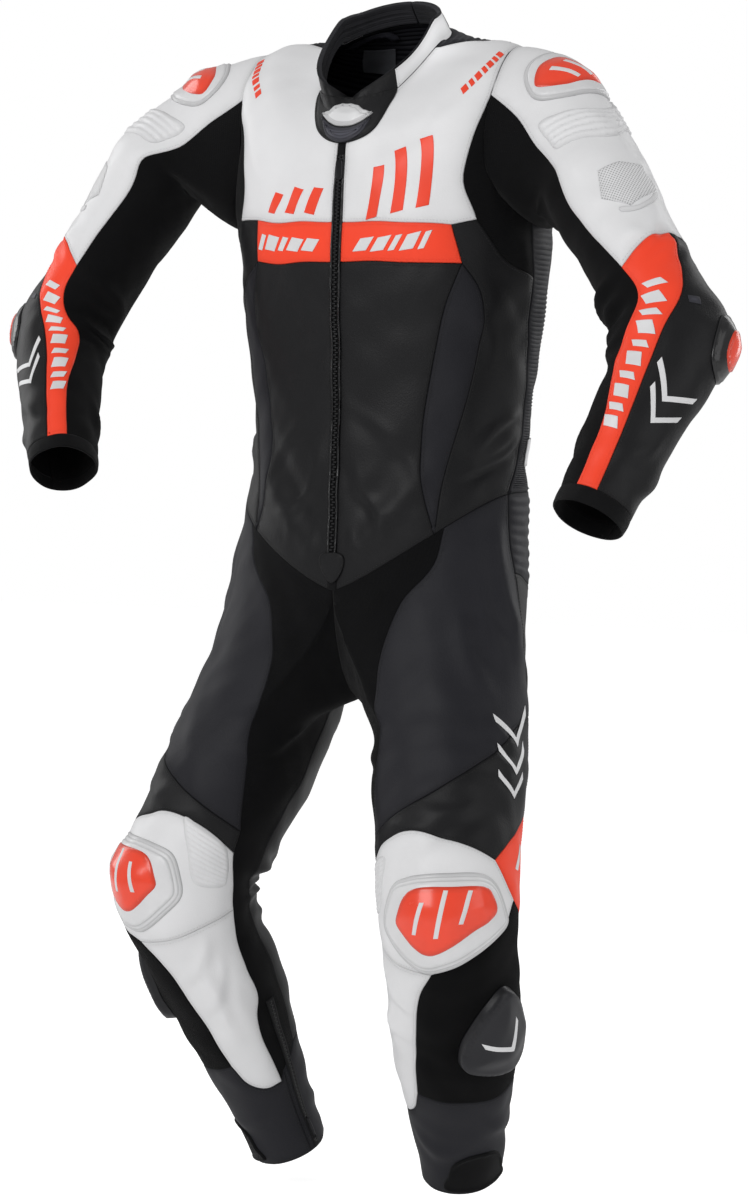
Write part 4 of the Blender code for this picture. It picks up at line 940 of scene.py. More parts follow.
def tree_of(points):
    tree = KDTree(len(points))
    for i, point in enumerate(points):
        tree.insert(point, i)
    tree.balance()
    return tree


def nearness(tree, points):
    return np.array([tree.find(point)[2] for point in points])


def seam_frame(surface, loop):
    """For each place of a loop: its point, the wall's direction there, and one millimetre inwards, flat."""
    kind = kind_of(surface)
    u = np.array([a for a, _, _ in loop])
    v = np.array([b for _, b, _ in loop])
    flat = flat_of(kind, u, v)
    edge, depth = lay(surface, u, v)
    for i, (a, b, border) in enumerate(loop):
        if border in ("armhole", "waist", "crotch"):
            depth[i] = border_depth(surface, np.array(a), np.array(b), border)
    mesh_way = 1.0 if signed_area(flat) > 0 else -1.0
    low, high = SPANS[kind]
    right, _ = lay(surface, angle_at(kind, flat[:, 0] + 0.5, v), v)
    left, _ = lay(surface, angle_at(kind, flat[:, 0] - 0.5, v), v)
    upper, lower = np.clip(v - 0.5, low, high), np.clip(v + 0.5, low, high)
    top, _ = lay(surface, angle_at(kind, flat[:, 0], upper), upper)
    bottom, _ = lay(surface, angle_at(kind, flat[:, 0], lower), lower)
    jacobian = np.stack([right - left, (bottom - top) / (lower - upper)[:, None]], -1)
    facing = np.sign(np.sum(np.cross(jacobian[..., 0], jacobian[..., 1]) * depth, axis=-1, keepdims=True))
    ahead = np.roll(edge, -1, axis=0) - edge
    inward = unit(np.cross(depth * facing * mesh_way, ahead) + 1e-12)
    both = inward + np.roll(inward, 1, axis=0)
    length = np.linalg.norm(both, axis=1, keepdims=True)
    both = np.where(length > 1e-3, both / np.maximum(length, 1e-9), inward)
    share = np.clip(np.sum(both * inward, axis=1, keepdims=True), 0.5, 1)
    inwards = np.linalg.pinv(jacobian, rcond=0.05) @ (both / share)[..., None]
    return flat, edge, depth, inwards[..., 0]


def dense(edge):
    """Points all along a closed loop of points, 1.5 mm apart."""
    points = []
    for a, b in zip(edge, np.roll(edge, -1, axis=0)):
        count = max(1, int(np.linalg.norm(b - a) / 1.5))
        points += [a + (b - a) * k / count for k in range(count)]
    return np.array(points)


def cut_flat(flat, rows, steps):
    """A mesh of the flat outline: rows of points along its edge, and a grid within the last row."""
    cut = bmesh.new()
    cut.loops.layers.uv.new("cloth")
    # The "apart" attribute holds the mask of edge wear and painted groove shade that sew writes.
    cut.verts.layers.float.new("apart")
    known = [cut.verts.new((x, y, 0)) for x, y in flat]
    face = cut.faces.new(known)
    seen = set(known)
    for row in rows:
        bmesh.ops.inset_individual(cut, faces=[face], thickness=1e-4)
        inner = [next(e.other_vert(v) for e in v.link_edges if e.other_vert(v) not in seen) for v in known]
        for vert, (x, y) in zip(inner, row):
            vert.co = (x, y, 0)
        seen |= set(inner)
        known = inner
    last = list(known)
    geom = [face] + list(face.edges) + list(face.verts)
    low, high = np.min(rows[-1], axis=0), np.max(rows[-1], axis=0)
    for axis, normal in ((1, (0, 1, 0)), (0, (1, 0, 0))):
        step = steps[axis]
        for at in np.arange(np.ceil(low[axis] / step) * step, high[axis], step):
            co = (at, 0, 0) if axis == 0 else (0, at, 0)
            geom = bmesh.ops.bisect_plane(cut, geom=geom, dist=1e-3, plane_co=co, plane_no=normal)["geom"]
    return cut, last


LAST_ROW = {}  # the innermost row of the panel that was cut last


def sew(surface, loop, rise, steps, rows=ROWS, sunk=1.2, base=0.0):
    """A piece of cloth as one open sheet; rise(u, v, apart) moves it out, apart being the way to its edge."""
    kind = kind_of(surface)
    flat, edge, depth, inwards = seam_frame(surface, loop)
    tree = tree_of(dense(edge))
    placed = []
    for far in rows:
        share = np.ones(len(flat))
        for _ in range(6):
            row = flat + inwards * (far * share)[:, None]
            low, high = SPANS[kind]
            v = np.clip(row[:, 1], low, high)
            points, _ = lay(surface, angle_at(kind, row[:, 0], v), v)
            share = np.where(nearness(tree, points) < 0.66 * far * share, share * 0.6, share)
        placed.append(flat + inwards * (far * share)[:, None])
    cut, last = cut_flat(flat, placed, (steps[0] * COARSE, steps[1] * COARSE))
    layer, seam = cut.loops.layers.uv["cloth"], cut.verts.layers.float["apart"]
    verts = list(cut.verts)
    xy = np.array([(vert.co.x, vert.co.y) for vert in verts])
    low, high = SPANS[kind]
    v = np.clip(xy[:, 1], low, high)
    u = angle_at(kind, xy[:, 0], v)
    points, normal = lay(surface, u, v)
    apart = nearness(tree, points)
    count = len(flat)
    lift = base + rise(u, v, apart)
    points = points + normal * lift[:, None]
    drop = np.array([0.2 if border in ("neck", "open") else sunk for _, _, border in loop])
    points[:count] = edge - depth * drop[:, None]
    cut.verts.index_update()
    # Edge wear and painted shade: this mask darkens the colour near the seams, in troughs and grooves below
    # the piece's level, and along each step's groove line.
    edge_wear_and_groove_shade = np.minimum(apart / 6.0, 1.0 + (lift - base) / 1.2)
    for line in getattr(rise, "lines", ()):
        edge_wear_and_groove_shade = np.minimum(edge_wear_and_groove_shade, 0.25 + 0.75 * np.abs(apart - line))
    for vert, share in zip(verts, np.clip(edge_wear_and_groove_shade, 0, 1)):
        vert[seam] = share
    inside = [vert.index for vert in last]
    LAST_ROW["points"], LAST_ROW["normals"] = points[inside], normal[inside]
    for face in cut.faces:
        for corner in face.loops:
            corner[layer].uv = xy[corner.vert.index] * MM
    for vert, point in zip(verts, points):
        vert.co = point * MM
    cut.normal_update()
    facing = 0.0
    for face in cut.faces:
        facing += face.normal.dot(Vector(normal[face.verts[0].index])) * face.calc_area()
    if facing < 0:
        bmesh.ops.reverse_faces(cut, faces=cut.faces[:])
    bmesh.ops.triangulate(cut, faces=[face for face in cut.faces if len(face.verts) > 4])
    return cut


def padded_edge(puff=0.4, rim=0.8, stitched=0.25):
    """Leather between its seams: rolled in at the seam, pulled down along the stitches."""
    def rise(_u, _v, apart):
        seam = -rim * np.exp(-((apart / 0.9) ** 2)) - puff * np.exp(-((apart / 9.0) ** 2))
        return seam - stitched * np.exp(-(((apart - 3.2) / 1.1) ** 2))

    return rise


def ribbed(pitch, height, angle=0.0, kind="torso", from_edge=3.0):
    """Rounded ribs across the panel, laid over the seam's own shape."""
    seam = padded_edge(0.3, 0.8, 0.0)
    way = np.array([np.sin(np.radians(angle)), np.cos(np.radians(angle))])

    def rise(u, v, apart):
        phase = (u * DEGREE[kind] * way[0] + v * way[1]) / pitch
        rib = np.abs(np.cos(np.pi * phase)) ** 0.7
        return seam(u, v, apart) + height * (rib - 0.35) * ease((apart - from_edge) / 4.0)

    return rise


# ---------------------------------------------------------------- finishing a piece

def add_piece(name, shell, material, nodes=(), wall=None, slot=None, sharp=1.2):
    """The mesh as an object that rides with the suit, given its wall and finish."""
    mesh = bpy.data.meshes.new(name)
    shell.to_mesh(mesh)
    shell.free()
    mesh.shade_smooth()
    if sharp:
        mesh.set_sharp_from_angle(angle=sharp)
    piece = bpy.data.objects.new(name, mesh)
    bpy.context.scene.collection.objects.link(piece)
    mesh.materials.append(material)
    if wall:
        solid = piece.modifiers.new("wall", "SOLIDIFY")
        solid.thickness = wall * MM
        solid.offset = -1.0
    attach(piece, "root")
    if nodes:
        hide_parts(*nodes)
    return piece


def declare_sheet(piece, surface, loop):
    """Works out the width and length of the cut that the panel was made from, and keeps nothing."""
    mesh = piece.data
    area = sum(polygon.area for polygon in mesh.polygons)
    flat = flat_of(kind_of(surface), [a for a, _, _ in loop], [b for _, b, _ in loop]) * MM
    size = flat.max(axis=0) - flat.min(axis=0)
    width, length = float(size[0]), float(size[1])
    if area > width * length:  # ribs and creases take up more cloth than the outline's box holds
        width = width * 1.02 * area / (width * length)
    if area < 0.32 * width * length:  # a slanted panel lies askew in its outline's box
        width = area / (0.4 * length)


# ---------------------------------------------------------------- finishes

def node_group(name, scale_label, scale, *outputs):
    """A shader node group from a vector and a scale to numbers: the tree, its two inputs and its outputs."""
    group = bpy.data.node_groups.new(name, "ShaderNodeTree")
    sockets = group.interface
    sockets.new_socket("Vector", in_out="INPUT", socket_type="NodeSocketVector")
    sockets.new_socket(scale_label, in_out="INPUT", socket_type="NodeSocketFloat").default_value = scale
    for label in outputs:
        sockets.new_socket(label, in_out="OUTPUT", socket_type="NodeSocketFloat")
    source = group.nodes.new("NodeGroupInput").outputs
    return group, source[0], source[1], group.nodes.new("NodeGroupOutput").inputs


def put(tree, kind, **settings):
    node = tree.nodes.new(kind)
    for name, value in settings.items():
        setattr(node, name, value)
    return node


def math(tree, operation, *values):
    """A sum of node outputs and plain numbers."""
    node = put(tree, "ShaderNodeMath", operation=operation)
    for socket, value in zip(node.inputs, values):
        if isinstance(value, (int, float)):
            socket.default_value = value
        else:
            tree.links.new(value, socket)
    return node.outputs[0]


def noise(tree, vector, scale, detail=2.0):
    node = put(tree, "ShaderNodeTexNoise")
    tree.links.new(vector, node.inputs["Vector"])
    node.inputs["Scale"].default_value = scale
    node.inputs["Detail"].default_value = detail
    return node.outputs[0]


def split(tree, vector):
    parts = put(tree, "ShaderNodeSeparateXYZ")
    tree.links.new(vector, parts.inputs[0])
    return parts.outputs[0], parts.outputs[1]


def grain_group():
    """Leather grain: pebbles with fine lines between them, and broad smooth patches."""
    group, vector, scale, result = node_group(
        "leather grain", "Pebbles per metre", PEBBLES, "Height", "Patches"
    )
    pebbles = put(group, "ShaderNodeTexVoronoi", feature="SMOOTH_F1")
    group.links.new(vector, pebbles.inputs["Vector"])
    group.links.new(scale, pebbles.inputs["Scale"])
    pebbles.inputs["Smoothness"].default_value = 0.5
    coarse = math(group, "MULTIPLY", pebbles.outputs["Distance"], 0.5)
    height = math(group, "MULTIPLY_ADD", noise(group, vector, 190.0, 5.0), 0.7, coarse)
    group.links.new(height, result[0])
    group.links.new(noise(group, vector, 17.0, 3.0), result[1])
    return group


def knit_group():
    """Fine ribs of a knitted elastic cloth, from the piece's own flat coordinates."""
    group, vector, scale, result = node_group("knit", "Ribs per metre", 480.0, "Height", "Tone")
    x, y = split(group, vector)
    across = math(group, "SINE", math(group, "MULTIPLY", math(group, "MULTIPLY", x, scale), 6.2832))
    down = math(group, "SINE", math(group, "MULTIPLY", math(group, "MULTIPLY", y, scale), 9.0))
    height = math(group, "ADD", math(group, "ABSOLUTE", across), math(group, "MULTIPLY", down, 0.3))
    group.links.new(height, result[0])
    group.links.new(noise(group, vector, 40.0), result[1])
    return group


def holes_group():
    """Slanted rows of small punched holes: 1 in a hole, 0 between, from flat coordinates."""
    group, vector, scale, result = node_group("punched holes", "Holes per metre", 260.0, "Hole")
    x, y = (math(group, "MULTIPLY", part, scale) for part in split(group, vector))
    rows = math(group, "ADD", x, y), math(group, "SUBTRACT", x, y)
    a, b = (math(group, "SUBTRACT", math(group, "FRACT", row), 0.5) for row in rows)
    squares = math(group, "MULTIPLY", a, a), math(group, "MULTIPLY", b, b)
    far = math(group, "SQRT", math(group, "ADD", *squares))
    group.links.new(math(group, "LESS_THAN", far, 0.3), result[0])
    return group


PEBBLES = 620.0  # of the leather's grain, per metre
GROUPS = {}


def pattern(tree, maker, vector, scale):
    """The outputs of a shared node group, laid at a scale."""
    if maker not in GROUPS:
        GROUPS[maker] = maker()
    node = put(tree, "ShaderNodeGroup", node_tree=GROUPS[maker])
    tree.links.new(vector, node.inputs[0])
    node.inputs[1].default_value = scale
    return node.outputs


def blank(name, roughness, **sockets):
    """A material with its Principled shader and constant values set."""
    material = bpy.data.materials.new(name)
    material.use_nodes = True
    tree = material.node_tree
    shader = tree.nodes["Principled BSDF"]
    shader.inputs["Roughness"].default_value = roughness
    for label, value in sockets.items():
        shader.inputs[label.replace("_", " ")].default_value = value
    return material, tree, shader


def tint(tree, mask, low, high):
    """A colour between two, by a mask."""
    mix = put(tree, "ShaderNodeMix", data_type="RGBA")
    tree.links.new(mask, mix.inputs[0])
    for socket, colour in ((mix.inputs[6], low), (mix.inputs[7], high)):
        if isinstance(colour, tuple):
            socket.default_value = (*colour, 1)
        else:
            tree.links.new(colour, socket)
    return mix.outputs[2]


def bump(tree, shader, height, strength, distance):
    node = put(tree, "ShaderNodeBump")
    node.inputs["Strength"].default_value = strength
    node.inputs["Distance"].default_value = distance
    tree.links.new(height, node.inputs["Height"])
    tree.links.new(node.outputs[0], shader.inputs["Normal"])


def off_seam(tree):
    """0 in a seam or groove and 1 away from it, as the piece's own attribute says: the mask of edge wear and
    painted shade.
    """
    return math(tree, "MINIMUM", put(tree, "ShaderNodeAttribute", attribute_name="apart").outputs["Fac"], 1.0)


def scaled(colour, share):
    return tuple(channel * share for channel in colour)


def leather(name, colour, roughness, depth, deep, holes=0.0):
    """Coloured grained leather, a little duller along its seams, and darker along them and in its grooves and
    troughs: edge wear with painted shade.
    """
    material, tree, shader = blank(name, roughness, Specular_IOR_Level=0.22)
    height, patches = pattern(tree, grain_group, put(tree, "ShaderNodeTexCoord").outputs["Object"], PEBBLES)
    soft = off_seam(tree)
    # The seam mask darkens the colour towards deep times itself: edge wear at the seams, painted shade in
    # grooves and troughs.
    tone = math(tree, "MULTIPLY_ADD", patches, 0.35, math(tree, "MULTIPLY", soft, 0.75))
    colours = tint(tree, math(tree, "MINIMUM", tone, 1.0), scaled(colour, deep), colour)
    if holes:
        flat = put(tree, "ShaderNodeUVMap", uv_map="cloth").outputs[0]
        hole = pattern(tree, holes_group, flat, holes)[0]
        colours = tint(tree, hole, colours, scaled(colour, 0.5))
        height = math(tree, "SUBTRACT", height, math(tree, "MULTIPLY", hole, 2.0))
    tree.links.new(colours, shader.inputs["Base Color"])
    gloss = math(tree, "MULTIPLY_ADD", patches, 0.14, roughness - 0.07)
    gloss = math(tree, "MULTIPLY_ADD", math(tree, "SUBTRACT", 1.0, soft), 0.12, gloss)
    tree.links.new(gloss, shader.inputs["Roughness"])
    bump(tree, shader, height, depth, 0.0006)
    return material


def knit(name, colour, ribs, depth, roughness, sheen):
    """Elastic knitted cloth with fine ribs and a soft sheen."""
    gloss = {"Specular_IOR_Level": 0.12, "Sheen_Weight": sheen, "Sheen_Roughness": 0.4}
    material, tree, shader = blank(name, roughness, **gloss)
    flat = put(tree, "ShaderNodeUVMap", uv_map="cloth").outputs[0]
    height, tone = pattern(tree, knit_group, flat, ribs)
    tree.links.new(tint(tree, tone, scaled(colour, 0.7), scaled(colour, 1.3)), shader.inputs["Base Color"])
    bump(tree, shader, height, depth, 0.0005)
    return material


def moulded(name, colour, roughness, coat, groove_shade=0.0, specks=900.0):
    """Moulded plastic with a fine orange-peel surface and slight scuffs; where a share is given, its grooves
    are darker, as painted shade.
    """
    gloss = {"Specular_IOR_Level": 0.35, "Coat_Weight": coat, "Coat_Roughness": 0.15}
    material, tree, shader = blank(name, roughness, **gloss)
    place = put(tree, "ShaderNodeTexCoord").outputs["Object"]
    broad = noise(tree, place, 30.0, 4.0)
    tone = math(tree, "MULTIPLY", broad, 0.3)
    if groove_shade:
        # Painted shade: the grooves and step lines are darkened by the given share.
        tone = math(tree, "MULTIPLY_ADD", math(tree, "SUBTRACT", 1.0, off_seam(tree)), groove_shade, tone)
    colours = tint(tree, math(tree, "MINIMUM", tone, 1.0), colour, scaled(colour, 0.4))
    tree.links.new(colours, shader.inputs["Base Color"])
    tree.links.new(math(tree, "MULTIPLY_ADD", broad, 0.2, roughness - 0.1), shader.inputs["Roughness"])
    bump(tree, shader, noise(tree, place, specks), 0.15, 0.0003)
    return material


def metal(name, colour):
    """Dark metal with patchy wear."""
    material, tree, shader = blank(name, 0.35, Metallic=1.0)
    wear = noise(tree, put(tree, "ShaderNodeTexCoord").outputs["Object"], 220.0)
    tree.links.new(tint(tree, wear, scaled(colour, 0.7), scaled(colour, 1.2)), shader.inputs["Base Color"])
    tree.links.new(math(tree, "MULTIPLY_ADD", wear, 0.2, 0.25), shader.inputs["Roughness"])
    return material


FINISHES = {  # the maker, a colour of the settings or its own, the share of it, and the maker's other values
    # For leather the value after the bump depth is the share of the colour kept in seams and grooves: edge
    # wear with painted shade.
    "white leather": (leather, "white", 1, 0.42, 0.22, 0.74),
    "punched white": (leather, "white", 1, 0.45, 0.5, 0.8, 260.0),
    "orange leather": (leather, "orange", 1, 0.42, 0.22, 0.86),
    "black leather": (leather, "black", 1, 0.47, 0.4, 0.5),
    "slate leather": (leather, "slate", 1, 0.56, 0.35, 0.6),
    "ribbed leather": (leather, "slate", 1, 0.55, 0.3, 0.35),
    "elastic cloth": (knit, "elastic", 1, 480.0, 0.5, 0.85, 0.04),
    "lining mesh": (knit, "elastic", 8.0, 300.0, 0.8, 0.9, 0.05),
    "edge binding": (knit, "elastic", 1.2, 700.0, 0.4, 0.7, 0.05),
    "loop field": (knit, "elastic", 0.8, 900.0, 0.6, 0.95, 0.02),
    "label cloth": (knit, (0.13, 0.135, 0.15), 1, 700.0, 0.4, 0.8, 0.04),
    "orange shell": (moulded, "orange", 1, 0.24, 0.4, 0.5),
    "white shell": (moulded, "white", 1, 0.35, 0.2, 0.55),
    "black shell": (moulded, "black", 1, 0.3, 0.3),
    # The slider's 0.8 and the grey rubber's 1.3 are shares of painted shade in their grooves.
    "slider": (moulded, "slate", 0.9, 0.42, 0.0, 0.8, 500.0),
    "white print": (moulded, "white", 1, 0.4, 0.0),
    "orange print": (moulded, "orange", 1, 0.4, 0.0),
    "grey rubber": (moulded, "slate", 5.5, 0.5, 0.0, 1.3),
    "white thread": (moulded, "white", 0.85, 0.6, 0.0),
    "black thread": (moulded, "black", 1.6, 0.6, 0.0),
    "orange thread": (moulded, "orange", 1, 0.6, 0.0),
    "dark metal": (metal, (0.03, 0.03, 0.032), 1),
}
MADE = {}


def finish(name):
    """The finish by name, made the first time that it is asked for."""
    if name not in MADE:
        maker, colour, share, *values = FINISHES[name]
        if isinstance(colour, str):
            colour = getattr(bpy.context.scene.race_suit, colour)
        MADE[name] = maker(name, scaled(colour, share), *values)
    return MADE[name]


# ---------------------------------------------------------------- shapes laid on a panel

def as_loop(kind, flat):
    """Flat points as the places of a loop that crosses no seam of the suit."""
    return [(float(u), float(v), None) for u, v in zip(angle_at(kind, flat[:, 0], flat[:, 1]), flat[:, 1])]


def stepped(shape, kind, step=4.0):
    """A closed outline of places with straight edges, cut into short lengths."""
    points = flat_of(kind, *np.array(shape, float).T)
    found = []
    for a, b in zip(points, np.roll(points, -1, axis=0)):
        count = max(1, int(np.ceil(np.linalg.norm(b - a) / step)))
        found += [a + (b - a) * k / count for k in range(count)]
    return as_loop(kind, np.array(found))


def rounded(shape, kind, step):
    """A closed smooth outline through places."""
    points = flat_of(kind, *np.array(shape, float).T)
    slopes = (np.roll(points, -1, axis=0) - np.roll(points, 1, axis=0)) / 2
    found = []
    for i in range(len(points)):
        j = (i + 1) % len(points)
        count = max(1, int(np.ceil(np.linalg.norm(points[j] - points[i]) / step)))
        found.append(hermite(points[i], slopes[i], points[j], slopes[j], np.arange(count) / count))
    return as_loop(kind, np.concatenate(found))


def moved(shape, dv=0.0, grow=1.0):
    """An outline at another station, or made larger or smaller about its middle."""
    middle = np.mean(shape, axis=0)
    return [(middle[0] + (u - middle[0]) * grow, middle[1] + (v - middle[1]) * grow + dv) for u, v in shape]


def flat_rise(height):
    return lambda _u, _v, apart: height + 0 * apart


def steps_up(*levels):
    """Moulded relief: each level is (how far in it starts, how much it rises, over what width)."""
    def rise(_u, _v, apart):
        total = np.zeros(apart.shape)
        for start, height, width in levels:
            total = total + height * ease((apart - start) / width)
            if start:
                total = total - 0.35 * np.exp(-(((apart - start) / 0.8) ** 2))
        return total

    # rise.lines marks each step's groove, where sew paints a line of painted shade.
    rise.lines = [start for start, _, _ in levels if start]
    return rise


def over(surface, loop, rise, base):
    """A height that keeps just above a moulded piece."""
    tree = tree_of(dense(seam_frame(surface, loop)[1]))
    return lambda u, v, _apart: base + 0.25 + rise(u, v, nearness(tree, lay(surface, u, v)[0]))


def add_print(name, surface, shape, colour, rise=None):
    """A thin print pressed on a panel, or on a moulded piece by the height that keeps above it."""
    loop = stepped(shape, kind_of(surface))
    print_grid = (3.4, 3.4) if rise is None else (2.0, 2.0)
    sheet = sew(surface, loop, rise or flat_rise(0.4), rows=(0.5,), steps=print_grid, sunk=-0.3)
    if rise:
        lower_rim(sheet, surface, loop, rise)
    return add_piece(name, sheet, finish(colour), wall=0.3)


def lower_rim(sheet, surface, loop, rise):
    """Puts the print's outline at its height over the moulded piece."""
    u, v = np.array([a for a, _, _ in loop]), np.array([b for _, b, _ in loop])
    points, _ = lay(surface, u, v, rise(u, v, None) - 0.12)
    for vert, point in zip(list(sheet.verts), points):
        vert.co = point * MM


def add_mould(name, surface, loop, rise, colour, wall, nodes=(), *, base, sunk=0.2, rows=(0.8, 2.0), grid=2.4,
              slot=None):
    """A moulded cup, pad or raised patch over a panel."""
    form = sew(surface, loop, rise, rows=rows, steps=(grid, grid), sunk=sunk, base=base)
    return add_piece(name, form, finish(colour), nodes=nodes, wall=wall, slot=slot)


# ---------------------------------------------------------------- panels

PLAIN = padded_edge()
SOFT = padded_edge(0.7, 0.5, 0.0)
CLOTHS = {  # by finish: its panels, wall, shape between seams, level, thread and slot name
    "white leather": ("chest sleeve_outer knee shin_white", LEATHER, PLAIN, 0.0, "white thread",
                      "white_leather"),
    "orange leather": ("band sleeve_stripe knee_flash", LEATHER, PLAIN, 0.0, "orange thread",
                       "orange_leather"),
    "black leather": ("front side_front back_panel forearm thigh_lower leg_back", LEATHER, PLAIN, 0.0,
                      "black thread", "black_leather"),
    "slate leather": ("leaf thigh_front ankle", LEATHER, PLAIN, 0.0, "black thread", "slate_leather"),
    "ribbed leather": ("flank back_yoke lumbar_ribs", LEATHER, PLAIN, 0.0, None, "ribbed_leather"),
    "elastic cloth": ("side_stretch sleeve_inner leg_inner", STRETCH, SOFT, -0.5, None, "black_stretch"),
    "loop field": ("shin_patch", LEATHER, SOFT, 0.0, None, "black_stretch"),
    "edge binding": ("cuff", STRETCH, SOFT, 0.0, None, "neoprene"),
}
CLOTH_OF = {panel: colour for colour, row in CLOTHS.items() for panel in row[0].split()}
OWN_SHAPE = {  # panels with a shape between seams or a grid of their own
    "flank": (ribbed(4.4, 1.3), (7.0, 1.1)),
    "back_yoke": (ribbed(8.0, 2.2), (7.0, 1.6)),
    "lumbar_ribs": (ribbed(7.0, 2.0, 0, "leg"), (7.0, 1.4)),
    "knee": (PLAIN, (3.4, 3.4)),
    "cuff": (SOFT, (GRID, 3.0)),
}
STITCH_LINES = []  # surface, thread, points and normals of each row of stitches
CONCERNS = {
    "torso": (TORSO_POINTS, TORSO_SEAMS, TORSO_PANELS),
    "arm": (ARM_POINTS, ARM_SEAMS, ARM_PANELS),
    "leg": (LEG_POINTS, LEG_SEAMS, LEG_PANELS),
}


def add_panel(name, surface, loop):
    """A panel that takes the place of the CAD part's node of its name."""
    panel = name.removesuffix("_left").removesuffix("_right")
    _, wall, rise, level, thread, slot = CLOTHS[CLOTH_OF[panel]]
    rise, steps = OWN_SHAPE.get(panel, (rise, (GRID, GRID)))
    sheet = sew(surface, loop, rise, steps=steps, base=level)
    if thread:
        STITCH_LINES.append((surface, thread, LAST_ROW["points"], LAST_ROW["normals"]))
    piece = add_piece(f"{name}_panel", sheet, finish(CLOTH_OF[panel]), nodes=(name,), wall=wall, slot=slot)
    declare_sheet(piece, surface, loop)


def side_panels(kind, side):
    """The panels of one surface on one side."""
    points, seams, panels = CONCERNS[kind]
    if kind == "torso" and side == "right":
        points = points | RIGHT_POINTS
    for name, names in panels.items():
        add_panel(f"{name}_{side}", f"{kind}_{side}", outline(kind, points, seams, names))


def seam_run(points, seams, names):
    """Seams end to end, each a name with a minus where it is run backwards."""
    run = []
    for name in names.split():
        places, border = seam_places("torso", points, seams[name.strip("-")])
        places = places[::-1] if name.startswith("-") else places
        if run:
            run[-1] = (*run[-1][:2], run[-1][2] or border)
            places = places[1:]
        run += [(u, v, border) for u, v in places]
    return run


def back_panels():
    """The yoke and the back run left, then mirrored."""
    yoke = seam_run(TORSO_POINTS, TORSO_SEAMS, "-neck_rear shoulder_seam -armhole_yoke yoke_seam")
    back = seam_run(TORSO_POINTS, TORSO_SEAMS, "-yoke_seam -armhole_back flank_rear waist_seat")
    for name, half in (("back_yoke", yoke), ("back_panel", back)):
        other = [(360.0 - u, v, border) for u, v, border in reversed(half)][1:-1]
        add_panel(name, "torso_left", half + other)


# ---------------------------------------------------------------- armour cups, ribs and sliders

KNEE_RING = (
    (-57, 346), (-46, 328), (-27, 323), (7, 321), (34, 320), (49, 327), (58, 343), (59, 358),
    (36, 371), (6, 383), (-14, 388), (-30, 384), (-50, 371), (-59, 360),
)
KNEE_SHELL = (
    (-39, 354), (-37, 347), (-30, 337), (-19, 332), (7, 331), (34, 330), (42, 336), (45, 346),
    (37, 353), (25, 358), (-1, 370), (-13, 372), (-23, 368), (-32, 361),
)
KNEE_SHIFT = {"left": 0.0, "right": -9.0}
KNEE_RIBS = {"left": ((-58, 300), (-84, 302), (-93, 348), (-68, 350), (-62, 330)),
             "right": ((-40, 284), (-52, 284), (-84, 298), (-93, 338), (-68, 341), (-55, 314))}
SHOULDER_SHELL = (
    (48, 25), (35, 21), (22, 24), (12, 28), (3, 36), (-2, 46), (4, 52), (18, 49), (29, 46), (38, 42),
    (46, 34),
)
SHOULDER_LIP = (
    (55, 26), (46, 17), (34, 14), (20, 17), (8, 22), (-3, 32), (-9, 46), (-3, 60), (18, 59), (34, 54),
    (47, 47), (55, 36),
)
RIB_TOP = ((-4, 62), (8, 67), (20, 69), (35, 68), (48, 62), (61, 50), (71, 40), (96, 10))
RIB_FOOT = ((-4, 80), (25, 84), (45, 88), (63, 86), (82, 76), (96, 67))
SHOULDER_RIBS = (
    (-4, 61), (8, 66), (20, 68), (35, 67), (48, 61), (61, 49), (71, 39), (84, 53), (95, 68), (82, 77),
    (63, 87), (45, 89), (25, 85), (-4, 81),
)
SLEEVE_TAPE = ((84, 168), (66, 172), (48, 166), (30, 152), (26, 156), (46, 171), (66, 178), (84, 175))
SLEEVE_PUNCHED = ((87, 118), (61, 114), (33, 120), (24, 148), (46, 160), (72, 171), (98, 150))
ELBOW_SHELL = ((-26, 296), (0, 292), (24, 296), (32, 312), (26, 334), (0, 342), (-26, 334), (-34, 312))
SLIDER = {"left": (42, 470), "right": (56, 458)}  # its middle
# Degrees and stations round the slider's middle.
SLIDER_SHAPE = (
    (-34, 26), (-33, 10), (-28, -8), (-17, -32), (-6, -46), (7, -55), (17, -51), (27, -30), (33, 0),
    (33, 24), (27, 42), (16, 55), (0, 54), (-18, 46), (-29, 38),
)
KNEE_DOME = steps_up((0.0, 1.6, 2.0), (2.0, 4.2, 26.0))
SHOULDER_DOME = steps_up((0.0, 1.4, 1.5), (1.5, 4.0, 16.0))
SLIDER_CROWN = steps_up((0.0, 9.5, 4.0), (4.5, 1.5, 3.0), (7.0, 6.0, 26.0))
KNEE_DOME.lines, SHOULDER_DOME.lines = [], []  # no painted groove shade round the domes
ANKLE_ARCH = (
    (-14, 684), (-12, 664), (-4, 648), (12, 638), (32, 636), (52, 640), (66, 652), (72, 668),
    (72, 684),
)
FLANK_PATCH = ((103, 442), (115, 440), (117, 470), (116, 500), (104, 502), (102, 472))


def fanned(top, foot, count, height):
    """Ribs that fan out between two lines across the cloth, each a row of angle and station."""
    (top_u, top_v), (foot_u, foot_v) = np.array(top, float).T, np.array(foot, float).T

    def rise(u, v, apart):
        u = (u + 180) % 360 - 180
        first, last = np.interp(u, top_u, top_v), np.interp(u, foot_u, foot_v)
        rib = np.abs(np.sin(np.pi * count * (v - first) / (last - first))) ** 0.6
        return 0.5 * ease(apart / 1.5) + height * (rib - 0.4) * ease((apart - 0.6) / 3.0)

    return rise


def slider_outline(side):
    u, v = SLIDER[side]
    return rounded([(u + x, v + y) for x, y in SLIDER_SHAPE], "leg", 2.5)


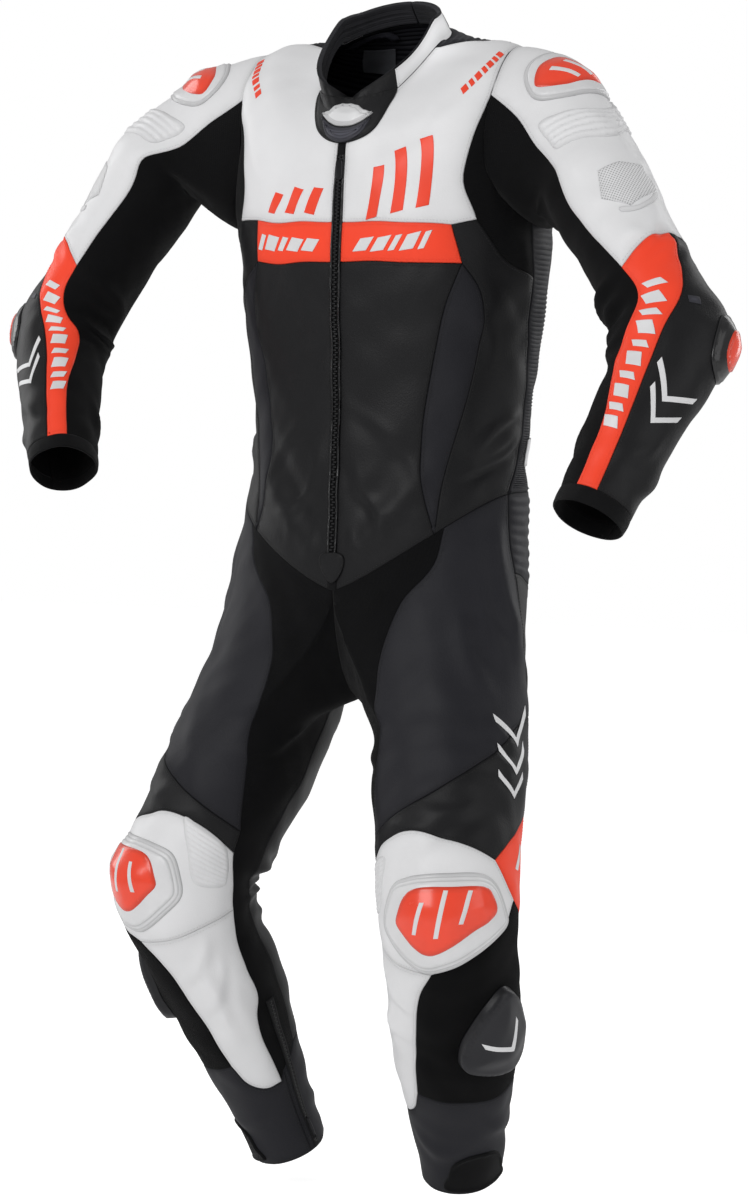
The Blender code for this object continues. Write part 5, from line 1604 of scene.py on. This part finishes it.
def knee_armour(side):
    leg_name, shift = f"leg_{side}", KNEE_SHIFT[side]
    rim = steps_up((0.0, 1.3, 1.6), (4.5, 1.4, 1.6), (9.0, 1.5, 1.6))
    add_mould(f"knee_ring_{side}", leg_name, rounded(moved(KNEE_RING, shift), "leg", 2.5), rim,
              "white shell", 1.6, base=0.1, rows=(0.8, 2.0, 3.8, 4.5, 5.2, 6.6, 8.3, 9.0, 9.8),
              slot="armour_orange")
    add_mould(f"knee_shell_{side}", leg_name, rounded(moved(KNEE_SHELL, shift), "leg", 2.5), KNEE_DOME,
              "orange shell", 2.2, (f"knee_cup_{side}",), base=4.2, sunk=-3.4, slot="armour_orange")
    waves = ribbed(4.6, 1.5, 12.0, "leg", 1.0)
    patch = lambda u, v, apart: waves(u, v, apart) + 0.9 * ease(apart / 3.0)
    add_mould(f"knee_ribs_{side}", leg_name, rounded(KNEE_RIBS[side], "leg", 2.5), patch,
              "white leather", 1.0, grid=1.2, base=0.3, sunk=0.3)


def slider(side):
    add_mould(f"slider_{side}", f"leg_{side}", slider_outline(side), SLIDER_CROWN,
              "slider", 3.0, (f"knee_slider_{side}",), base=1.0, sunk=-0.8, rows=(0.7, 2.0, 4.0),
              slot="slider_pad")


def ankle_patch(side):
    arch = steps_up((0.0, 2.4, 1.6), (3.6, -1.2, 1.2))
    add_mould(f"ankle_arch_{side}", f"leg_{side}", rounded(ANKLE_ARCH, "leg", 2.5), arch,
              "edge binding", 1.0, grid=2.2, base=0.3, sunk=-0.1)


def flank_patch(side):
    add_mould(f"flank_patch_{side}", f"torso_{side}", stepped(FLANK_PATCH, "torso", 3.0),
              padded_edge(0.4, 0.4, 0.2), "white leather", 1.0, grid=3.0, base=2.4, sunk=-1.6)


def arm_armour(side):
    arm_name = f"arm_{side}"
    seat = steps_up((0.0, 1.9, 1.6), (4.6, 1.3, 1.6))
    add_mould(f"shoulder_seat_{side}", arm_name, rounded(SHOULDER_LIP, "arm", 2.0), seat,
              "white shell", 0.8, base=0.2, grid=2.0, rows=(0.8, 2.0, 3.9, 4.6, 5.4, 6.4))
    add_mould(f"shoulder_shell_{side}", arm_name, rounded(SHOULDER_SHELL, "arm", 2.0), SHOULDER_DOME,
              "orange shell", 2.0, (f"shoulder_cup_{side}",), base=2.8, sunk=-2.2, slot="armour_orange")
    bands = fanned(RIB_TOP, RIB_FOOT, 5, 3.0)
    add_mould(f"shoulder_ribs_{side}", arm_name, rounded(SHOULDER_RIBS, "arm", 2.0), bands,
              "white leather", 1.0, grid=1.3, base=0.5, sunk=0.3)
    add_mould(f"sleeve_tape_{side}", arm_name, rounded(SLEEVE_TAPE, "arm", 2.0), steps_up((0.0, 0.9, 1.0)),
              "white leather", 0.6, grid=1.4, base=0.3, sunk=-0.1)
    add_mould(f"punched_patch_{side}", arm_name, stepped(SLEEVE_PUNCHED, "arm", 3.0),
              steps_up((0.0, 0.7, 1.5)), "punched white", 0.8, grid=3.0, base=0.2, sunk=0.1)
    cup = steps_up((0.0, 2.6, 2.0), (4.0, 2.0, 2.0), (6.0, 3.0, 16.0))
    add_mould(f"elbow_shell_{side}", arm_name, rounded(ELBOW_SHELL, "arm", 2.5), cup,
              "black shell", 2.5, (f"elbow_cup_{side}",), base=0.6, sunk=-0.2, slot="armour_black")
    cap = steps_up((0.0, 2.6, 2.0), (3.0, 1.4, 10.0))
    add_mould(f"elbow_slider_{side}", arm_name, rounded(moved(ELBOW_SHELL, grow=0.55), "arm", 2.5), cap,
              "orange shell", 2.5, base=6.6, sunk=-5.6)


# ---------------------------------------------------------------- collar, throat and zip

COLLAR_PARTS = {  # first and last angle, finish
    "collar_front_left": (0, 47, "black leather"),
    "collar_band_left": (47, 118, "white leather"),
    "collar_back": (118, 242, "black leather"),
    "collar_band_right": (242, 313, "white leather"),
    "collar_front_right": (313, 360, "black leather"),
}
NECK_LABEL = ((136, 46), (156, 44), (158, 82), (143, 84))
NECK_PAD = (
    (122, 42), (123, 22), (129, 9), (139, 6), (150, 10), (158, 24), (153, 29), (145, 19), (137, 18),
    (131, 27), (129, 42),
)
BINDING = 2.5  # stations of black edge binding above the white bands
THROAT = (
    (-46, 0), (-39, -6), (-30, -11), (-15, -17), (0, -21), (15, -17), (30, -11), (39, -6), (46, 0),
    (42, 8), (34, 18), (26, 31), (20, 40), (11, 46), (0, 48), (-11, 46), (-20, 40), (-26, 31),
    (-34, 18), (-42, 8),
)
TONGUE = (
    (-21, 17), (-10, 21), (0, 22), (10, 21), (21, 17), (17, 28), (11, 40), (0, 47), (-11, 40),
    (-17, 28),
)
BADGE = (
    (-24, 13), (-20, 3), (-14, -6), (-6, -11), (6, -11), (14, -6), (20, 3), (24, 13), (15, 17.5),
    (7, 20), (-7, 20), (-15, 17.5),
)
ANKLE_ZIP = -108.0  # the angle that it runs down
PULL_SHAPE = ((-2.4, 652), (0, 650), (2.4, 652), (3.4, 664), (2.2, 676), (0, 678), (-2.2, 676), (-3.4, 664))
BASE_TAB = ((-4.8, 531), (0, 527), (4.8, 531), (5.6, 540), (3.2, 550), (0, 554), (-3.2, 550), (-5.6, 540))
PULL = ((-1.6, 78), (0, 76.5), (1.6, 78), (1.9, 92), (1.6, 106), (0, 108), (-1.6, 106), (-1.9, 92))


def collar_part(first, last, low, high):
    """A loop round part of the collar, from station low to high."""
    count = int(abs(last - first) / 3.0)
    angles = [first + (last - first) * k / count for k in range(count + 1)]
    up = [low + (high - low) * k / 6 for k in range(1, 6)]
    loop = [(a, low, "neck" if low == 0 else None) for a in angles]
    loop += [(last, v, None) for v in up]
    loop += [(a, high, "open") for a in reversed(angles)]
    return loop + [(first, v, None) for v in reversed(up)]


def build_collar():
    for name, (first, last, colour) in COLLAR_PARTS.items():
        top = COLLAR_TALL if colour == "black leather" else COLLAR_TALL - BINDING
        loop = collar_part(first, last, 0.0, top)
        sheet = sew("collar", loop, padded_edge(0.5, 0.6, 0.2), steps=(3.4, 3.4), sunk=0.6)
        nodes = ("collar",) if name == "collar_front_left" else ()
        piece = add_piece(name, sheet, finish(colour), nodes, 1.6, colour.replace(" ", "_"))
        declare_sheet(piece, "collar", loop)
    for side in ("left", "right"):
        first, last, _ = COLLAR_PARTS[f"collar_band_{side}"]
        loop = collar_part(first, last, COLLAR_TALL - BINDING, COLLAR_TALL)
        sheet = sew("collar", loop, padded_edge(0.2, 0.5, 0.0), rows=(1.0,), steps=(3.4, 2.0), sunk=0.6)
        add_piece(f"collar_binding_{side}", sheet, finish("edge binding"), wall=1.2)
    loop = collar_part(-179.5, 179.5, 0.5, COLLAR_TALL - 0.5)
    ribs = ribbed(6.0, 1.0, 0, "collar")
    sheet = sew("collar", loop, ribs, steps=(4.0, 1.5), sunk=0.0, base=-COLLAR_WALL - 1.2)
    piece = add_piece("neck_lining", sheet, finish("lining mesh"), ("collar_lining",), 1.0, "neoprene")
    declare_sheet(piece, "collar", loop)
    label = stepped(NECK_LABEL, "torso", 3.0)
    add_mould("neck_label", "torso_right", label, flat_rise(0.0), "label cloth", 0.5, sunk=2.1, grid=3.0,
              base=-2.1)
    crescent = rounded(NECK_PAD, "torso", 2.0)
    inwards = lambda _u, _v, apart: -3.2 * ease(apart / 5.0)
    add_mould("neck_pad", "torso_right", crescent, inwards, "grey rubber", 0.6, sunk=2.1, grid=2.4, base=-2.1)


def build_throat():
    loop = rounded(THROAT, "throat", 2.0)
    edge = steps_up((0.0, 1.4, 1.4), (2.6, -0.4, 0.6), (3.6, 0.4, 0.6))
    piece = add_mould("throat_flap", "throat", loop, edge, "black leather", 1.6, ("throat",), base=1.0,
                      sunk=-0.7, rows=(0.7, 2.0), slot="black_leather")
    declare_sheet(piece, "throat", loop)
    tongue = rounded(TONGUE, "throat", 1.6)
    ledges = steps_up((0.0, 1.0, 0.7), (3.2, 0.8, 0.7), (6.4, 0.8, 0.7), (9.6, 0.8, 0.7))
    add_mould("throat_tongue", "throat", tongue, ledges, "grey rubber", 1.0, grid=1.6, base=2.4, sunk=-2.2,
              rows=(0.7, 1.8, 2.6, 3.2, 3.8, 5.0, 5.8, 6.4, 7.0))
    badge = stepped(BADGE, "throat", 1.6)
    face = steps_up((0.0, 0.9, 0.8), (3.0, -0.5, 0.8), (4.6, 0.5, 0.8))
    add_mould("throat_badge", "throat", badge, face, "white shell", 1.0, grid=1.6, base=2.6, sunk=-2.4,
              rows=(0.7, 1.8, 2.5, 3.0, 3.6, 4.6, 5.4))


def add_teeth(name, surface, u, first, last, wide):
    """A closed zip's teeth down a line of one angle."""
    teeth = bmesh.new()
    for k, t in enumerate(np.arange(first, last, 2.6 * COARSE)):
        point, normal = lay(surface, np.array(u), np.array(t), 0.5)
        below, _ = lay(surface, np.array(u), np.array(t + 1.0), 0.5)
        down = Vector(unit(below - point))
        out = Vector(normal)
        side = down.cross(out)
        tooth = bmesh.ops.create_cube(teeth, size=1.0)["verts"]
        shift = wide * (0.3 if k % 2 else -0.3)
        for vert in tooth:
            x, y, z = vert.co
            vert.co = (Vector(point) + side * (x * wide + shift) + down * y * 1.5 + out * (z * 1.3)) * MM
    bmesh.ops.recalc_face_normals(teeth, faces=teeth.faces[:])
    add_piece(name, teeth, finish("black shell"), sharp=0.5)


def ankle_zip(side):
    leg_name = f"leg_{side}"
    tape = stepped(slanted_bar(ANKLE_ZIP, 592, 6.5, 96, 0, "leg"), "leg")
    groove = steps_up((0.0, 1.0, 1.0), (3.4, -0.9, 0.8))
    add_mould(f"ankle_zip_tape_{side}", leg_name, tape, groove, "black leather", 0.8, grid=2.0, base=0.2,
              sunk=0.0)
    add_teeth(f"ankle_zip_teeth_{side}", leg_name, ANKLE_ZIP, 500.0, 684.0, 2.6)
    pull = rounded([(ANKLE_ZIP + x, v) for x, v in PULL_SHAPE], "leg", 1.5)
    add_mould(f"ankle_zip_pull_{side}", leg_name, pull, steps_up((0.0, 1.4, 0.8)), "dark metal", 1.2,
              grid=1.5, base=1.4, sunk=-1.0)


def build_zip():
    edge = seam_run(TORSO_POINTS, TORSO_SEAMS, "zip_chest zip_band zip_front")
    edge[-1] = (*edge[-1][:2], "waist")
    other = [(-u, v, border) for u, v, border in reversed(edge)]
    loop = edge + [(0.0, WAIST_T, "waist")] + other + [(0.0, NECK_T, None)]
    tape = sew("torso_left", loop, flat_rise(-0.6), rows=(0.9,), steps=(2.2, 4.3), sunk=1.2)
    piece = add_piece("zip_tape", tape, finish("edge binding"), ("zip",), 1.0, "zip_tape")
    declare_sheet(piece, "torso_left", loop)
    add_teeth("zip_teeth", "torso_left", 0.0, 70.0, 527.0, 3.6)
    for side, at in (("left", 1.62), ("right", -1.62)):
        strip = stepped(slanted_bar(at, 300.0, 1.1, 232.0, 0.0, "torso"), "torso")
        add_mould(f"zip_piping_{side}", "torso_left", strip, steps_up((0.0, 0.9, 0.7)), "black shell", 0.6,
                  rows=(0.5,), grid=3.4, base=0.2, sunk=0.3)
    add_mould("zip_end_tab", "torso_left", rounded(BASE_TAB, "torso", 2.0),
              steps_up((0.0, 1.2, 1.2), (3.0, 0.5, 1.0)), "black leather", 1.2, ("zip_base_tab",),
              base=0.9, sunk=-0.4, rows=(0.7, 2.0), slot="black_leather")
    add_mould("zip_slider_pull", "torso_left", rounded(PULL, "torso", 1.5),
              steps_up((0.0, 1.2, 0.8), (1.6, -0.5, 0.8)), "dark metal", 1.4, ("zip_pull",),
              base=1.6, sunk=-1.0, rows=(0.5, 1.2), grid=1.5, slot="zip_metal")


# ---------------------------------------------------------------- stitches

STITCH_PITCH, STITCH_LONG = 3.5, 2.3  # from one stitch to the next, and its length


def stitch_form():
    """One lock stitch of millimetre size, as points and triangles."""
    form = bmesh.new()
    bmesh.ops.create_icosphere(form, subdivisions=1, radius=1.0)
    form.verts.index_update()
    points = np.array([vert.co for vert in form.verts]) * (STITCH_LONG / 2, 0.33, 0.3)
    faces = np.array([[vert.index for vert in face.verts] for face in form.faces])
    form.free()
    return points, faces


def at_length(at, along, rows):
    """Rows of a closed line, read off at lengths along it."""
    return np.stack([np.interp(at % along[-1], along, rows[:, k]) for k in range(3)], -1)


def build_stitches():
    form, faces = stitch_form()
    gathered = {}
    for surface, thread, points, normals in STITCH_LINES:
        closed = np.vstack([points, points[:1]])
        lengths = np.linalg.norm(np.diff(closed, axis=0), axis=1)
        along = np.concatenate([[0], np.cumsum(lengths)])
        count = int(along[-1] / (STITCH_PITCH * COARSE))
        at = (np.arange(count) + 0.5) * along[-1] / count
        where = at_length(at, along, closed)
        out = unit(at_length(at, along, np.vstack([normals, normals[:1]])))
        run = at_length(at + 1.2, along, closed) - at_length(at - 1.2, along, closed)
        way = unit(run)
        side = unit(np.cross(out, way))
        turned = way[:, None] * form[:, :1] + side[:, None] * form[:, 1:2] + out[:, None] * form[:, 2:]
        placed = (where + out * 0.12)[:, None] + turned
        gathered.setdefault((surface, thread), []).append(placed[np.linalg.norm(run, axis=1) > 2.0])
    for (surface, thread), groups in gathered.items():
        placed = np.concatenate(groups)
        count = len(placed)
        mesh = bpy.data.meshes.new("stitches")
        ids = (faces[None] + (np.arange(count) * len(form))[:, None, None]).reshape(-1, 3)
        mesh.from_pydata((placed.reshape(-1, 3) * MM).tolist(), [], ids.tolist())
        shell = bmesh.new()
        shell.from_mesh(mesh)
        bmesh.ops.recalc_face_normals(shell, faces=shell.faces[:])
        bpy.data.meshes.remove(mesh)
        name = f"stitches_{surface}_{thread.split()[0]}"
        add_piece(name, shell, finish(thread), sharp=0.0)


# ---------------------------------------------------------------- prints: plain bars and chevrons

def slanted_bar(u, v, wide, tall, lean, kind):
    """A parallelogram round a middle place, its top moved sideways by lean millimetres."""
    corners = ((-wide + lean, -tall), (wide + lean, -tall), (wide - lean, tall), (-wide - lean, tall))
    return [(u + x / DEGREE[kind], v + y) for x, y in corners]


def chevron(u, v, wide, tall, thick, kind, turn):
    """An angle bracket round a middle place, pointing down and turned by degrees."""
    upper = ((-wide, -tall), (0, tall - thick), (wide, -tall))
    shape = upper + ((wide, -tall + thick), (0, tall), (-wide, -tall + thick))
    c, s = np.cos(np.radians(turn)), np.sin(np.radians(turn))
    return [(u + (x * c - y * s) / DEGREE[kind], v + x * s + y * c) for x, y in shape]


CHEST_BARS = {  # outlines of growing bars across the chest, from the wearer's right to the left
    "left": (((11, 168), (15, 167), (19, 106), (15, 102)), ((20, 168), (24.5, 169), (28, 100), (24, 96)),
             ((29, 172), (33.5, 174), (37, 112), (33, 104))),
    "right": (((13, 160), (9, 160), (6, 122), (10, 124)), ((21.5, 168), (17.5, 166), (14, 132), (18, 134)),
              ((29.5, 176), (26, 174), (23, 150), (26.5, 152))),
}
BAND_BLOCKS = ((10.5, 6.5), (17.0, 6.5), (22.2, 3.0), (27.6, 6.5), (32.8, 3.0))  # middle angle, half width
STRIPE_BLOCKS = (  # middle, half length
    (86, 268, 4), (91, 285, 7), (95, 303, 4), (98, 321, 8), (100, 341, 4),
    (101, 359, 8), (101, 379, 4), (100, 397, 7), (98, 415, 4), (97, 431, 6),
)
SHELL_BARS = ((-17, 350, 15), (0, 347, 22), (18, 343, 16))  # middle, half length, on a knee shell


def add_prints(side):
    torso_name, arm_name, leg_name = f"torso_{side}", f"arm_{side}", f"leg_{side}"
    for k, bar in enumerate(CHEST_BARS[side]):
        add_print(f"chest_bar_{side}_{k}", torso_name, bar, "orange print")
    lean = -3.6 if side == "left" else 3.6
    for k, (u, wide) in enumerate(BAND_BLOCKS):
        middle = 199 + 0.35 * (u - 10)
        block = slanted_bar(u, middle, wide, 8.0, -lean, "torso")
        add_print(f"band_block_{side}_{k}", torso_name, block, "white print")
    for k in range(7):
        mark = slanted_bar(54 + 3.3 * k, 97 - 0.5 * abs(k - 3), 2.4 if k % 2 else 3.4, 4.6, 1.6, "torso")
        add_print(f"shoulder_mark_{side}_{k}", torso_name, mark, "orange print")
    for k, (u, v, tall) in enumerate(STRIPE_BLOCKS):
        block = slanted_bar(u, v, 10.0, tall, 2.5, "arm")
        add_print(f"stripe_block_{side}_{k}", arm_name, block, "white print")
    for k in range(2):
        mark = chevron(47, 376 + 25 * k, 31 - 4 * k, 17, 7.5, "arm", -16)
        add_print(f"forearm_chevron_{side}_{k}", arm_name, mark, "white print")
    for k in range(3):
        mark = chevron(59, 170 + 26 * k, 26 - 3 * k, 15, 7.5, "leg", -14)
        add_print(f"thigh_chevron_{side}_{k}", leg_name, mark, "white print")
    add_print(f"elbow_tag_{side}", arm_name, slanted_bar(53, 289, 6, 3.4, 0, "arm"), "grey rubber")
    add_print(f"flash_bar_{side}", leg_name, slanted_bar(82, 292, 4.5, 15, 5, "leg"), "white print")


def shell_prints(side):
    """Thin white bars over the moulded shells and sliders."""
    leg_name, arm_name, shift = f"leg_{side}", f"arm_{side}", KNEE_SHIFT[side]
    dome = over(leg_name, rounded(moved(KNEE_SHELL, shift), "leg", 2.5), KNEE_DOME, 4.2)
    for k, (u, v, tall) in enumerate(SHELL_BARS):
        bar = slanted_bar(u, v + shift, 2.3, tall * 0.6, 5.0, "leg")
        add_print(f"knee_bar_{side}_{k}", leg_name, bar, "white print", dome)
    dome = over(arm_name, rounded(SHOULDER_SHELL, "arm", 2.0), SHOULDER_DOME, 2.8)
    for k in range(2):
        bar = slanted_bar(16 + 13 * k, 39 - 2.5 * k, 1.8, 7.5, 4.5, "arm")
        add_print(f"shoulder_bar_{side}_{k}", arm_name, bar, "white print", dome)
    crown = over(leg_name, slider_outline(side), SLIDER_CROWN, 1.0)
    u, v = SLIDER[side]
    mark = chevron(u + 3, v + 2, 22, 16, 8, "leg", -24)
    add_print(f"slider_chevron_{side}", leg_name, mark, "white print", crown)


# ---------------------------------------------------------------- stage

FLOOR = -1.2535  # all in metres here
CAMERA_FAR, PIXEL, FRAME_HIGH = 3.2, 0.0011, 1.32  # one pixel of the frame at the suit's axis
CAMERA_TURN, CAMERA_RISE = 34.0, 3.443  # degrees from the suit's front and above level
AIM_RIGHT, AIM_UP = -19 * PIXEL, -0.594
SENSOR = 36.0
LIGHTS = {  # metres to the right of the aim, towards the camera and up; width and height; share of the key
    "key": ((-1.7, 2.2, 1.5), (1.6, 1.6), 1.0),
    "fill": ((2.0, 1.8, 0.5), (1.4, 2.0), 0.28),
    "rim left": ((-1.8, -1.2, 1.0), (0.7, 2.0), 0.3),
    "rim right": ((1.8, -1.2, 1.0), (0.7, 2.0), 0.3),
}
IN_NECK = Vector((0.0, 0.05, -0.04))  # where the small spot for the neck opening points


def aimed(name, data, place, aim):
    """A camera or lamp at a place, turned towards its aim."""
    thing = bpy.data.objects.new(name, data)
    thing.location = place
    thing.rotation_euler = (aim - place).to_track_quat("-Z", "Y").to_euler()
    bpy.context.scene.collection.objects.link(thing)
    return thing


def build_floor():
    floor = bmesh.new()
    bmesh.ops.create_grid(floor, x_segments=1, y_segments=1, size=8.0)
    bmesh.ops.translate(floor, verts=floor.verts[:], vec=(0, 0, FLOOR))
    mesh = bpy.data.meshes.new("floor")
    floor.to_mesh(mesh)
    floor.free()
    ground = bpy.data.objects.new("floor", mesh)
    bpy.context.scene.collection.objects.link(ground)
    material, tree, shader = blank("pale floor", 0.9, Specular_IOR_Level=0.1)
    shader.inputs["Base Color"].default_value = (0.93, 0.93, 0.93, 1)
    shader.inputs["Emission Color"].default_value = (1, 1, 1, 1)
    seen = put(tree, "ShaderNodeLightPath").outputs["Is Camera Ray"]
    tree.links.new(math(tree, "MULTIPLY_ADD", seen, 0.52, 0.12), shader.inputs["Emission Strength"])
    mesh.materials.append(material)


def build_stage(suit):
    turn, rise = np.radians(CAMERA_TURN), np.radians(CAMERA_RISE)
    right = Vector((np.cos(turn), np.sin(turn), 0))
    back = Vector((np.sin(turn) * np.cos(rise), -np.cos(turn) * np.cos(rise), np.sin(rise)))
    target = right * AIM_RIGHT + Vector((0, 0, AIM_UP))
    camera = bpy.data.cameras.new("camera")
    camera.sensor_fit = "VERTICAL"
    camera.sensor_height = SENSOR
    camera.lens = SENSOR * CAMERA_FAR / FRAME_HIGH
    bpy.context.scene.camera = aimed("camera", camera, target + back * CAMERA_FAR, target)
    build_floor()
    for name, ((x, y, z), size, share) in LIGHTS.items():
        light = bpy.data.lights.new(name, "AREA")
        light.shape = "RECTANGLE"
        light.size, light.size_y = size
        light.energy = suit.key * share
        aimed(name, light, target + right * x + back * y + Vector((0, 0, z)), target)
    spot = bpy.data.lights.new("neck", "SPOT")
    spot.energy, spot.spot_size, spot.spot_blend, spot.shadow_soft_size = suit.key * 0.3, 0.26, 0.8, 0.05
    aimed("neck", spot, IN_NECK + right * -0.05 + back * 0.46 + Vector((0, 0, 0.56)), IN_NECK)
    world = bpy.data.worlds.new("studio")
    bpy.context.scene.world = world
    world.use_nodes = True
    tree = world.node_tree
    sky = tree.nodes["Background"]
    sky.inputs[0].default_value = (1, 1, 1, 1)
    seen = put(tree, "ShaderNodeLightPath").outputs["Is Camera Ray"]
    tree.links.new(math(tree, "MULTIPLY_ADD", seen, 1.0 - suit.surround, suit.surround), sky.inputs[1])
    bpy.context.scene.view_settings.view_transform = "Standard"


# ---------------------------------------------------------------- add-on

def colour_property(label, text, value):
    limits = {"subtype": "COLOR", "min": 0, "max": 1, "size": 3}
    return FloatVectorProperty(name=label, description=text, default=value, **limits)


class RaceSuitSettings(bpy.types.PropertyGroup):
    white: colour_property("White", "Colour of the white leather and shells", (0.80, 0.80, 0.81))
    orange: colour_property("Orange", "Colour of the bright leather, shells and prints", (1.0, 0.07, 0.028))
    black: colour_property("Black", "Colour of the black leather", (0.008, 0.008, 0.009))
    slate: colour_property("Slate", "Colour of the dark grey leather", (0.0135, 0.0135, 0.0175))
    elastic: colour_property("Elastic", "Colour of the elastic cloth", (0.0028, 0.0028, 0.0032))
    key: FloatProperty(name="Key light", description="Power of the main light", default=39.0, min=0)
    surround: FloatProperty(name="Surround", description="Strength of the white surround", default=0.4, min=0)


class MadePart:
    """What every operator here shares."""

    bl_options = {"REGISTER"}

    def execute(self, context):
        self.make(context.scene.race_suit)
        return {"FINISHED"}


class RACESUIT_OT_torso(MadePart, bpy.types.Operator):
    """Sew the front, flank and back panels of the torso"""

    bl_idname = "racesuit.torso"
    bl_label = "Torso panels"

    def make(self, _suit):
        for side in ("left", "right"):
            side_panels("torso", side)
            flank_patch(side)
        back_panels()


class RACESUIT_OT_sleeves(MadePart, bpy.types.Operator):
    """Sew the sleeves and add their armour and punched patches"""

    bl_idname = "racesuit.sleeves"
    bl_label = "Sleeves"

    def make(self, _suit):
        for side in ("left", "right"):
            side_panels("arm", side)
            arm_armour(side)


class RACESUIT_OT_legs(MadePart, bpy.types.Operator):
    """Sew the legs"""

    bl_idname = "racesuit.legs"
    bl_label = "Legs"

    def make(self, _suit):
        for side in ("left", "right"):
            side_panels("leg", side)


class RACESUIT_OT_knees(MadePart, bpy.types.Operator):
    """Mould the knee cups, their ribs and the sliders"""

    bl_idname = "racesuit.knees"
    bl_label = "Knee armour and sliders"

    def make(self, _suit):
        for side in ("left", "right"):
            knee_armour(side)
            slider(side)
            ankle_patch(side)
            ankle_zip(side)


class RACESUIT_OT_collar(MadePart, bpy.types.Operator):
    """Make the stand collar, its lining and the throat flap"""

    bl_idname = "racesuit.collar"
    bl_label = "Collar and throat"

    def make(self, _suit):
        build_collar()
        build_throat()


class RACESUIT_OT_zip(MadePart, bpy.types.Operator):
    """Make the zip with its tape, teeth, pull and end tab"""

    bl_idname = "racesuit.zip"
    bl_label = "Zip"

    def make(self, _suit):
        build_zip()


class RACESUIT_OT_stitches(MadePart, bpy.types.Operator):
    """Sew a row of stitches along the edges of the smooth leather panels"""

    bl_idname = "racesuit.stitches"
    bl_label = "Stitches"

    def make(self, _suit):
        build_stitches()


class RACESUIT_OT_prints(MadePart, bpy.types.Operator):
    """Press plain bars and chevrons on the panels"""

    bl_idname = "racesuit.prints"
    bl_label = "Prints"

    def make(self, _suit):
        for side in ("left", "right"):
            add_prints(side)
            shell_prints(side)


class RACESUIT_OT_stage(MadePart, bpy.types.Operator):
    """Set up the floor, the lights and the camera"""

    bl_idname = "racesuit.stage"
    bl_label = "Stage"

    def make(self, suit):
        build_stage(suit)


PARTS = (RACESUIT_OT_torso, RACESUIT_OT_sleeves, RACESUIT_OT_legs, RACESUIT_OT_knees, RACESUIT_OT_collar,
         RACESUIT_OT_zip, RACESUIT_OT_stitches, RACESUIT_OT_prints, RACESUIT_OT_stage)


class RACESUIT_PT_panel(bpy.types.Panel):
    """Lists the suit's parts and settings"""

    bl_label = "Race suit"
    bl_idname = "RACESUIT_PT_panel"
    bl_space_type = "VIEW_3D"
    bl_region_type = "UI"
    bl_category = "Race suit"

    def draw(self, context):
        for name in RaceSuitSettings.__annotations__:
            self.layout.prop(context.scene.race_suit, name)
        for part in PARTS:
            self.layout.operator(part.bl_idname)


CLASSES = (RaceSuitSettings, *PARTS, RACESUIT_PT_panel)


def register():
    for thing in CLASSES:
        bpy.utils.register_class(thing)
    bpy.types.Scene.race_suit = PointerProperty(type=RaceSuitSettings)


def unregister():
    del bpy.types.Scene.race_suit
    for thing in reversed(CLASSES):
        bpy.utils.unregister_class(thing)


def main():
    register()
    for part in PARTS:
        group, name = part.bl_idname.split(".")
        getattr(getattr(bpy.ops, group), name)()


if __name__ == "__main__":
    main()
